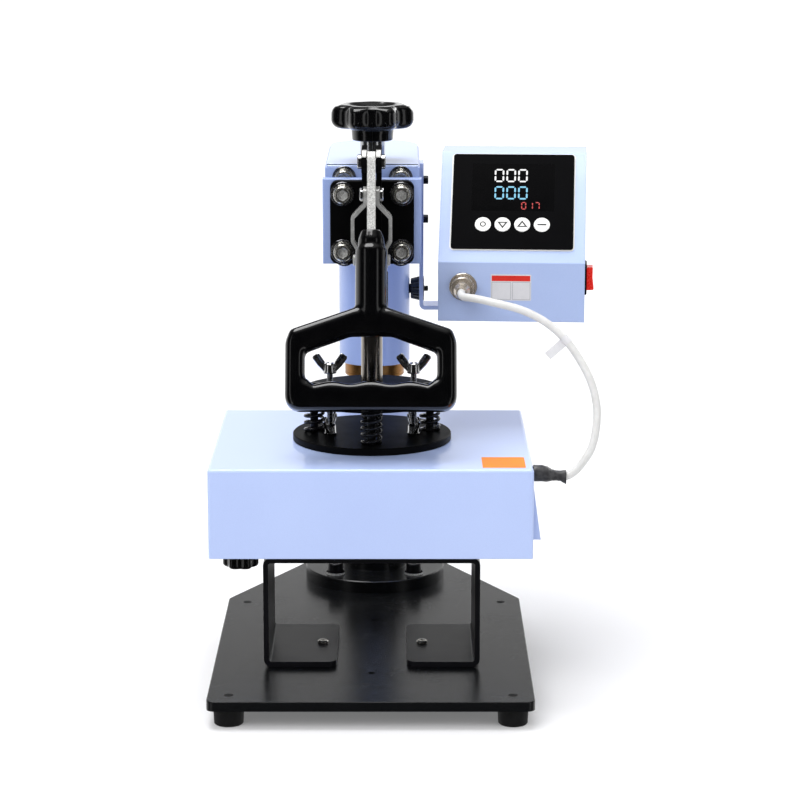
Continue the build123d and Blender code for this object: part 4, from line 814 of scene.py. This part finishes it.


# painted highlight: pale steel bands on the clamp's two ears, round the handle's pivot, where
# their tops catch the light

earHighlightFacts = {"pivot": (176.0, 515.5), "radius": 11.02, "wall": 0.3, "inner": 4.3, "outer": 9.6,
            "ease": 0.7, "start": -20.0, "stop": 152.0, "steps": 40}


def makeEarHighlights(facts):
    low, high, ease = facts["inner"], facts["outer"], facts["ease"]
    near, far = facts["radius"] - 1.2, facts["radius"] + facts["wall"]
    outline = [(low, near), (low, far - ease), (low + ease, far), (high - ease, far),
               (high, far - ease), (high, near)]
    turns = [math.radians(facts["start"] + (facts["stop"] - facts["start"]) * i / facts["steps"])
             for i in range(facts["steps"] + 1)]
    parts = [loft([[(side * x, facts["pivot"][0] + r * math.cos(turn),
                     facts["pivot"][1] + r * math.sin(turn)) for x, r in outline]
                   for turn in turns]) for side in (-1, 1)]
    makePiece("earHighlights", joined(parts), "tumbledSteel", "carriage", tidy=True)


makeEarHighlights(earHighlightFacts)


# coil springs between the discs

springFacts = {"low": 248.5, "high": 281.5, "outer": 10.5, "wire": 3.3, "turns": 5.2, "flat": 0.7,
               "places": [(-57, 176), (0, 119), (57, 176), (0, 233)], "travel": 6.0,
               "perTurn": 40, "around": 14}


def coil(facts, spot):
    wire, turns, flat = facts["wire"] / 2, facts["turns"], facts["flat"]
    low, high = facts["low"] + wire, facts["high"] - wire
    rings = []
    for i in range(int(turns * facts["perTurn"]) + 1):
        done = i / facts["perTurn"]
        # the end turns lie nearly flat and close
        eased = min(max((done - flat * 0.6) / (turns - 1.2 * flat), 0), 1)
        eased += 0.02 * math.sin(2 * math.pi * eased)
        z = low + (high - low) * eased
        turn, ring = 2 * math.pi * done, []
        for angle in turnsOf(facts["around"]):
            out = facts["outer"] - wire + wire * math.cos(angle)
            ring.append((spot[0] + out * math.cos(turn), spot[1] + out * math.sin(turn),
                         z + wire * math.sin(angle)))
        rings.append(ring)
    return loft(rings)


def makeSprings(facts):
    coils = makePiece("discCoils", joined([coil(facts, spot) for spot in facts["places"]]),
                      "springSteel", "head", "disc_springs", smooth=True,
                      tidy=True)
    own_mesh(coils)


makeSprings(springFacts)
print("springs made")


# hand grip: the CAD shape copied, remeshed and smoothed like a moulding

gripFacts = {"voxel": 0.0011, "rounds": 34, "spread": 0.6, "pivot": (0, 176, 515.5), "hang": 22.3,
             "barTop": 213.0, "barLow": 245.0, "wave": 2.6, "pitch": 38.0, "sag": 2.4,
             "reach": 60.0, "fade": 6.0}


def fingerHollow(facts, spot):
    # how far the cross bar's upper side lies below a straight line at that point
    hang = math.radians(facts["hang"])
    down = Vector((0, -math.sin(hang), -math.cos(hang)))
    along = (spot - Vector(facts["pivot"])).dot(down)
    share = (facts["barLow"] - along) / (facts["barLow"] - facts["barTop"])
    if not 0 < share < 1.25 or abs(spot.x) > facts["reach"]:
        return Vector()
    fade = min(1.0, (facts["reach"] - abs(spot.x)) / facts["fade"])
    wave = facts["wave"] * (0.5 - 0.5 * math.cos(2 * math.pi * spot.x / facts["pitch"]))
    sag = facts["sag"] * (spot.x / facts["reach"]) ** 2
    return down * ((wave + sag) * fade * min(share, 1.0) ** 1.5)


def makeGrip(facts):
    grip = linkObject("handGrip", nodes["grip"].data.copy())
    remesh = grip.modifiers.new("remesh", "REMESH")
    remesh.mode = "VOXEL"
    remesh.voxel_size = facts["voxel"]
    ease = grip.modifiers.new("ease", "SMOOTH")
    ease.factor = facts["spread"]
    ease.iterations = facts["rounds"]
    shaped = meshOf(grip)
    shaped.name = "handGrip"
    grip.modifiers.clear()
    grip.data = shaped
    for vert in shaped.vertices:
        vert.co += fingerHollow(facts, drawn(vert.co)) / 1000
    shaped.materials.clear()
    shaped.materials.append(finish["mouldedPhenolic"])
    for face in shaped.polygons:
        face.use_smooth = True
    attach(grip, "handle")
    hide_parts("grip")
    return grip


grip = makeGrip(gripFacts)
print("grip made with", len(grip.data.polygons), "faces")


# shrink boot over the cable where it enters the cover; each step gives how far along it lies,
# then half the width, half the height and the rise

bootFacts = {"start": 153.5, "stop": 184.5, "place": (60.0, 233.0), "wall": 1.0, "rings": 40,
             "lip": 6, "around": 64,
             "steps": [(0.0, 8.2, 7.8, 1.4), (0.1, 8.4, 7.9, 1.3), (0.25, 8.3, 7.8, 1.0),
                       (0.42, 8.0, 7.4, 0.2), (0.5, 7.4, 6.4, -0.4), (0.58, 6.2, 5.4, -0.8),
                       (0.7, 5.4, 4.9, -1.0), (0.82, 5.3, 5.0, -1.4), (0.92, 5.6, 6.0, -2.1),
                       (1.0, 5.9, 6.8, -2.7)]}


def between(steps, share):
    for a, b in zip(steps, steps[1:]):
        if share <= b[0]:
            t = (share - a[0]) / (b[0] - a[0])
            t = t * t * (3 - 2 * t)
            return [p + (q - p) * t for p, q in zip(a[1:], b[1:])]
    return list(steps[-1][1:])


def makeBoot(facts):
    length, (y, z), count = facts["stop"] - facts["start"], facts["place"], facts["rings"]
    # the outside from the cover to the mouth, then back a little way inside
    courses = [(i, 0.0) for i in range(count + 1)]
    courses += [(count, facts["wall"]), (count - facts["lip"], facts["wall"])]
    rings = []
    for i, wall in courses:
        share = i / count
        wide, tall, rise = between(facts["steps"], share)
        ring = []
        for turn in turnsOf(facts["around"]):
            # slight creases outside, as shrunk tube takes over what it covers
            crease = 1 + 0.02 * math.sin(3 * turn + 9 * share)
            crease += 0.012 * math.sin(5 * turn - 21 * share)
            crease = 1 if wall else crease
            ring.append((facts["start"] + length * share,
                         y + (wide * crease - wall) * math.cos(turn),
                         z + rise + (tall * crease - wall) * math.sin(turn)))
        rings.append(ring)
    makePiece("cableBoot", loft(rings), "heatShrink", "head", "cable_sleeve",
              smooth=True, tidy=True)


makeBoot(bootFacts)
print("boot made")


# flat prints on the console and the cover; low and high are heights above the face printed on

consoleFacts = {"place": (137.5, 208.0, 352.5), "turn": -4.0, "kick": 59.0, "setback": 76.0,
                "height": 160.0}


def consoleMatrices(facts):
    # x to the right, y up the face and z out of it, for the sloped face and the one below it
    turn = Matrix.Rotation(math.radians(facts["turn"]), 4, "Z")
    console = Matrix.Translation(facts["place"]) @ turn
    rise = facts["height"] - facts["kick"]
    across = Vector((1, 0, 0))
    upward = Vector((0, facts["setback"], rise)).normalized()
    lean = Matrix((across, upward, across.cross(upward))).transposed().to_4x4()
    upright = Matrix.Rotation(math.radians(90), 4, "X")
    return console @ Matrix.Translation((0, 0, facts["kick"])) @ lean, console @ upright


def roundedRing(left, right, low, high, radius, count=8):
    points = []
    for cx, cy, start in ((right - radius, high - radius, 0), (left + radius, high - radius, 90),
                          (left + radius, low + radius, 180), (right - radius, low + radius, 270)):
        points += arc(cx, cy, radius, start, start + 90, count)
    return points


def slab(outline, low, high):
    return loft([[(x, y, z) for x, y in outline] for z in (low, high)])


def ringSlab(outer, inner, low, high):
    # a flat frame between two outlines of as many points
    courses = ((outer, low), (outer, high), (inner, high), (inner, low))
    return loft([[(x, y, z) for x, y in outline] for outline, z in courses], closed=True)


def printPiece(name, parts, matrix, material, body):
    makePiece(name, moved(joined(parts), matrix), material, body)


slope, front = consoleMatrices(consoleFacts)

panelFacts = {"half": 60.5, "low": 15.0, "high": 122.5, "corner": 3.0, "rim": 1.5, "gap": 0.05,
              "lift": 0.35}


def makePanelRim(facts):
    half, rim, gap = facts["half"], facts["rim"], facts["gap"]
    outer = roundedRing(-half - rim, half + rim, facts["low"] - rim, facts["high"] + rim,
                        facts["corner"] + rim)
    inner = roundedRing(-half - gap, half + gap, facts["low"] - gap, facts["high"] + gap,
                        facts["corner"])
    printPiece("panelRim", [ringSlab(outer, inner, 0.0, facts["lift"])], slope, "mouldedAbs",
               "arm")


makePanelRim(panelFacts)


# digits: which of the seven strokes each sign lights, from the top round to the right

strokes = {"0": "abcdef", "1": "bc", "7": "abc"}
digitShape = {"low": 2.22, "high": 2.3, "wide": 9.6, "tall": 15.0, "pitch": 11.75, "pen": 1.7,
              "gap": 0.54, "text": "000"}
digitFacts = {
    "digitsTop": {"left": -19.0, "base": 90.3, "material": "litWhite"},
    "digitsMiddle": {"left": -18.7, "base": 70.5, "material": "litCyan"},
    "digitsLow": {"text": "017", "left": 8.3, "base": 59.2, "wide": 5.0, "tall": 8.4, "pitch": 6.7,
                  "pen": 1.0, "gap": 0.36, "material": "litRed"},
}


def strokeOutline(start, stop, pen, gap):
    # a bar with mitred ends between two corners of a digit
    along = (stop - start).normalized()
    ahead, aside = along * pen / 2, Vector((-along.y, along.x)) * pen / 2
    a, b = start + along * gap, stop - along * gap
    return [a + ahead - aside, b - ahead - aside, b, b - ahead + aside, a + ahead + aside, a]


def makeDigits(name, facts):
    parts, pen = [], facts["pen"]
    for place, sign in enumerate(facts["text"]):
        x0, y0 = facts["left"] + place * facts["pitch"] + pen / 2, facts["base"] + pen / 2
        x1, y2 = x0 + facts["wide"] - pen, y0 + facts["tall"] - pen
        y1 = (y0 + y2) / 2
        ends = {"a": ((x0, y2), (x1, y2)), "b": ((x1, y1), (x1, y2)), "c": ((x1, y0), (x1, y1)),
                "d": ((x0, y0), (x1, y0)), "e": ((x0, y0), (x0, y1)), "f": ((x0, y1), (x0, y2))}
        for letter in strokes[sign]:
            start, stop = (Vector(point) for point in ends[letter])
            outline = strokeOutline(start, stop, pen, facts["gap"])
            parts.append(slab(outline, facts["low"], facts["high"]))
    printPiece(name, parts, slope, facts["material"], "arm")


for name, facts in digitFacts.items():
    makeDigits(name, {**digitShape, **facts})


# key marks: a thin ring on each key, and inside it a ring, two arrows and a bar

keyFacts = {"row": 42.0, "pitch": 19.5, "low": 2.59, "high": 2.66, "ring": 6.3, "line": 0.15,
            "arrow": 5.3, "hole": 0.5, "dotOuter": 3.0, "dotInner": 1.9, "barLong": 4.4,
            "barThick": 0.8, "keys": [("set", 0), ("down", -1), ("up", 1), ("clear", 2)]}


def circlePoints(middle, radius):
    return [(middle[0] + radius * math.cos(turn), middle[1] + radius * math.sin(turn))
            for turn in turnsOf(48)]


def arrowPoints(middle, size, sign):
    rise = size * 0.86
    points = [(middle[0] + side * size, middle[1] - sign * rise * 0.62) for side in (-1, 1)]
    points.append((middle[0], middle[1] + sign * rise))
    return points if sign > 0 else points[::-1]


def inset(points, share):
    cx, cy = (sum(point[k] for point in points) / len(points) for k in (0, 1))
    return [(cx + (x - cx) * share, cy + (y - cy) * share) for x, y in points]


def makeKeyMarks(facts):
    low, high = facts["low"], facts["high"]
    for index, (key, sign) in enumerate(facts["keys"]):
        middle = ((index - 1.5) * facts["pitch"], facts["row"])
        ring = ringSlab(circlePoints(middle, facts["ring"] + facts["line"]),
                        circlePoints(middle, facts["ring"] - facts["line"]), low, high)
        if sign in (-1, 1):
            outer = arrowPoints(middle, facts["arrow"], sign)
            mark = ringSlab(outer, inset(outer, facts["hole"]), low, high)
        elif sign == 0:
            mark = ringSlab(circlePoints(middle, facts["dotOuter"]),
                            circlePoints(middle, facts["dotInner"]), low, high)
        else:
            half, thick = facts["barLong"], facts["barThick"]
            mark = slab([(middle[0] + x * half, middle[1] + y * thick)
                         for x, y in ((-1, -1), (1, -1), (1, 1), (-1, 1))], low, high)
        for kind, part, ink in (("keyRing", ring, "greyInk"), ("keyMark", mark, "blackInkAndShadow")):
            printPiece(kind + key.capitalize(), [part], slope, ink, "key_" + key)


makeKeyMarks(keyFacts)


# blank label on the console: white vinyl with a red band over two framed cells

labelFacts = {"left": -20.2, "right": 19.7, "low": 21.4, "high": 47.6, "bandLow": 40.8,
              "bandHigh": 46.3, "split": 0.4, "margin": 0.9, "line": 0.35}


def makeConsoleLabel(facts):
    left, right, low, margin = facts["left"], facts["right"], facts["low"], facts["margin"]
    paper = roundedRing(left, right, low, facts["high"], 1.0)
    printPiece("consoleLabel", [slab(paper, -0.02, 0.12)], front, "whiteVinyl", "arm")
    band = roundedRing(left + margin, right - margin, facts["bandLow"], facts["bandHigh"], 0.3)
    printPiece("consoleLabelBand", [slab(band, 0.1, 0.16)], front, "redInk", "arm")
    cells, line = [], facts["line"]
    for a, b in ((left + margin, facts["split"] - 0.7), (facts["split"] + 0.7, right - margin)):
        base, top = low + margin, facts["bandLow"] - 1.0
        cells.append(ringSlab(roundedRing(a, b, base, top, 0.3),
                              roundedRing(a + line, b - line, base + line, top - line, 0.2),
                              0.1, 0.16))
    printPiece("consoleLabelCells", cells, front, "greyInk", "arm")


makeConsoleLabel(labelFacts)


# blank patch on the cover's top

patchFacts = {"left": 105.4, "right": 146.2, "front": 50.5, "rear": 94.0, "corner": 2.0,
              "top": 241.5}


def makeCoverPatch(facts):
    paper = roundedRing(facts["left"], facts["right"], facts["front"], facts["rear"],
                        facts["corner"])
    printPiece("coverPatch", [slab(paper, -0.02, 0.12)], Matrix.Translation((0, 0, facts["top"])),
               "orangeVinyl", "head")


makeCoverPatch(patchFacts)


# the lid's front edge stands back from the folded rim of the arm box, and the seam under it is a
# black strip of painted shadow; (y, z) outlines

seamFacts = {"half": 45.6,
             "lidRim": ("bluePowderCoat", [(263.6, 500.1), (262.1, 500.1), (262.1, 500.6),
                                           (263.3, 501.9), (263.6, 501.9)]),
             "lidSeamShadow": ("blackInkAndShadow", [(263.6, 501.95), (263.38, 501.95), (263.38, 502.75),
                                      (263.6, 502.75)])}


def makeLidSeam(facts):
    for name in ("lidRim", "lidSeamShadow"):
        material, outline = facts[name]
        shape = loft([[(side * facts["half"], y, z) for y, z in outline] for side in (-1, 1)])
        makePiece(name, shape, material, "arm", tidy=True)


makeLidSeam(seamFacts)
print("prints made")


# blank flag tag folded round the cable

tagFacts = {"along": 0.5, "wide": 8.0, "flag": 19.0, "thick": 0.25, "tube": 3.95, "steps": 24,
            "open": 14.0, "toward": (-1.0, -0.12, -0.72)}


def cablePoint(share):
    # the place that share of the way along the cable, and the cable's direction there
    spans = list(zip(cablePoints, cablePoints[1:]))
    left = share * sum((b - a).length for a, b in spans)
    for a, b in spans:
        if left <= (b - a).length:
            return drawn(a.lerp(b, left / (b - a).length)), (b - a).normalized()
        left -= (b - a).length


def makeTag(facts):
    spot, ahead = cablePoint(facts["along"])
    # the flag points down and to the left of the operator, square to the cable
    out = Vector(facts["toward"])
    out = (out - ahead * out.dot(ahead)).normalized()
    side, tube, thick, flag = ahead.cross(out), facts["tube"], facts["thick"], facts["flag"]
    ring = arc(0, 0, tube, facts["open"], 360 - facts["open"], facts["steps"])
    ring += [(tube + flag * 0.25, -thick * 0.6), (tube + flag, -thick * 0.5),
             (tube + flag, thick * 0.5), (tube + flag * 0.25, thick * 0.6)]
    verts, faces = loft([[spot + out * u + side * w + ahead * (end * facts["wide"] / 2)
                          for u, w in ring] for end in (-1, 1)], caps=False)
    # the flag's two edges are closed, and the band round the cable stays open
    for base in (0, len(ring)):
        faces.append(tuple(base + i % len(ring)
                           for i in range(facts["steps"], facts["steps"] + 6)))
    tag = makePiece("cableTag", (verts, faces), "whiteVinyl", "arm")
    thicken = tag.modifiers.new("paper", "SOLIDIFY")
    thicken.thickness = thick / 1000
    thicken.offset = 0
    followHead(tag)


makeTag(tagFacts)
print("tag made")


# studio: a pale sweep, four soft lights and a sky of its own for glossy parts

studioFacts = {
    "floor": {"half": 14.0, "tone": "#DEDEE0", "shade": "#DADADC", "patch": 667.0, "near": 0.14,
              "far": 0.62, "liftStart": 0.6, "liftEnd": 3.2},
    "lights": [
        {"name": "keyLight", "place": (-1.2, -1.9, 2.0), "size": 1.6, "power": 28, "gloss": False},
        {"name": "fillLight", "place": (1.9, -1.5, 1.2), "size": 1.0, "power": 9, "gloss": False},
        {"name": "topLight", "place": (-0.35, 0.1, 2.4), "size": 1.6, "power": 52, "gloss": True},
        {"name": "rearLight", "place": (1.1, 1.9, 1.3), "size": 1.0, "power": 10, "gloss": True},
    ],
    "aim": (0, 0, 0.28),
    # for the sky, the axis of a direction, where the change along it starts and ends, and the
    # strength at both
    "sky": {"soft": 0.62, "strips": (0.7, 0.07),
            "rear": ("Y", -0.15, 0.5, 0.02, 1.0, "SMOOTHSTEP"),
            "low": ("Z", 0.2, 0.36, 1.1, 0.12, "SMOOTHSTEP"),
            "top": ("Z", 0.68, 0.95, 0.0, 0.42, "SMOOTHSTEP"),
            "ahead": ("Y", -0.5, -0.3, 0.9, 0.0, "LINEAR")},
}


def makeFloor(facts):
    half = facts["half"]
    mesh = bpy.data.meshes.new("studioFloor")
    mesh.from_pydata([(-half, -half, 0), (half, -half, 0), (half, half, 0), (-half, half, 0)], [],
                     [(0, 1, 2, 3)])
    floor = linkObject("studioFloor", mesh)
    # matt painted hardboard: pale grey, hardly mottled
    material, tree = emptyMaterial("paintedHardboard")
    coords = addNode(tree, "TexCoord").outputs["Object"]
    cloud = addNode(tree, "TexNoise", {"Vector": coords, "Scale": 1000 / facts["patch"],
                                       "Detail": 2.0})
    level = addNode(tree, "MapRange", {"Value": cloud.outputs["Fac"], "From Min": noiseSpan[0],
                                       "From Max": noiseSpan[1]})
    tone = addNode(tree, "Mix", {0: level.outputs["Result"], 6: linear(facts["shade"]),
                                 7: linear(facts["tone"])}, data_type="RGBA")
    # painted light: the floor glows, faintly near the machine and more further out, so that the
    # sweep stays white to its end
    away = addNode(tree, "VectorMath", {0: coords}, operation="LENGTH")
    lift = addNode(tree, "MapRange", {"Value": away.outputs["Value"],
                                      "From Min": facts["liftStart"],
                                      "From Max": facts["liftEnd"], "To Min": facts["near"],
                                      "To Max": facts["far"]}, interpolation_type="SMOOTHSTEP")
    shader = addNode(tree, "BsdfPrincipled", {
        "Base Color": tone.outputs[2], "Roughness": 0.7, "Specular IOR Level": 0.2,
        "Emission Color": (1, 1, 1, 1), "Emission Strength": lift.outputs["Result"]})
    addNode(tree, "OutputMaterial", {"Surface": shader.outputs["BSDF"]})
    mesh.materials.append(material)
    # glossy parts mirror the studio's sky, also below the horizon
    floor.visible_glossy = False


def makeLights(facts):
    for light in facts["lights"]:
        data = bpy.data.lights.new(light["name"], "AREA")
        data.shape = "SQUARE"
        data.size = light["size"]
        data.energy = light["power"]
        lamp = linkObject(light["name"], data)
        lamp.visible_glossy = light["gloss"]
        lamp.location = light["place"]
        aim = Vector(facts["aim"]) - lamp.location
        lamp.rotation_euler = aim.to_track_quat("-Z", "Y").to_euler()


def makeSky(facts):
    # White behind all that is seen. Soft surfaces get an even light, and glossy ones a studio
    # that is pale behind the machine and low down, and dark on the operator's side but for two
    # upright strips of light and a pale ceiling.
    world = bpy.data.worlds.new("studioSky")
    scene.world = world
    world.use_nodes = True
    tree = world.node_tree
    tree.nodes.clear()
    heading = addNode(tree, "SeparateXYZ", {
        "Vector": addNode(tree, "TexCoord").outputs["Generated"]})
    glow = {}
    for name in ("rear", "low", "top", "ahead"):
        axis, start, stop, first, last, ease = facts[name]
        glow[name] = addNode(tree, "MapRange", {
            "Value": heading.outputs[axis], "From Min": start, "From Max": stop,
            "To Min": first, "To Max": last}, interpolation_type=ease).outputs["Result"]
    behind = addNode(tree, "Math", {0: glow["rear"], 1: glow["low"]}, operation="MULTIPLY")
    upper = addNode(tree, "Math", {0: behind.outputs["Value"], 1: glow["top"]})
    aside = addNode(tree, "Math", {0: heading.outputs["X"]}, operation="ABSOLUTE")
    strip = addNode(tree, "Math", {0: aside.outputs["Value"], 1: facts["strips"][0],
                                   2: facts["strips"][1]}, operation="COMPARE")
    strips = addNode(tree, "Math", {0: strip.outputs["Value"], 1: glow["ahead"]},
                     operation="MULTIPLY")
    level = addNode(tree, "Math", {0: upper.outputs["Value"], 1: strips.outputs["Value"]})
    rays = addNode(tree, "LightPath")
    gloss, soft, seen = (addNode(tree, "Background", {"Color": (1, 1, 1, 1), "Strength": strength})
                         for strength in (level.outputs["Value"], facts["soft"], 1.0))
    lit = addNode(tree, "MixShader", {0: rays.outputs["Is Glossy Ray"],
                                      1: soft.outputs["Background"],
                                      2: gloss.outputs["Background"]})
    both = addNode(tree, "MixShader", {0: rays.outputs["Is Camera Ray"],
                                       1: lit.outputs["Shader"], 2: seen.outputs["Background"]})
    addNode(tree, "OutputWorld", {"Surface": both.outputs["Shader"]})


makeFloor(studioFacts["floor"])
makeLights(studioFacts)
makeSky(studioFacts["sky"])
scene.view_settings.view_transform = "Standard"
print("studio made")
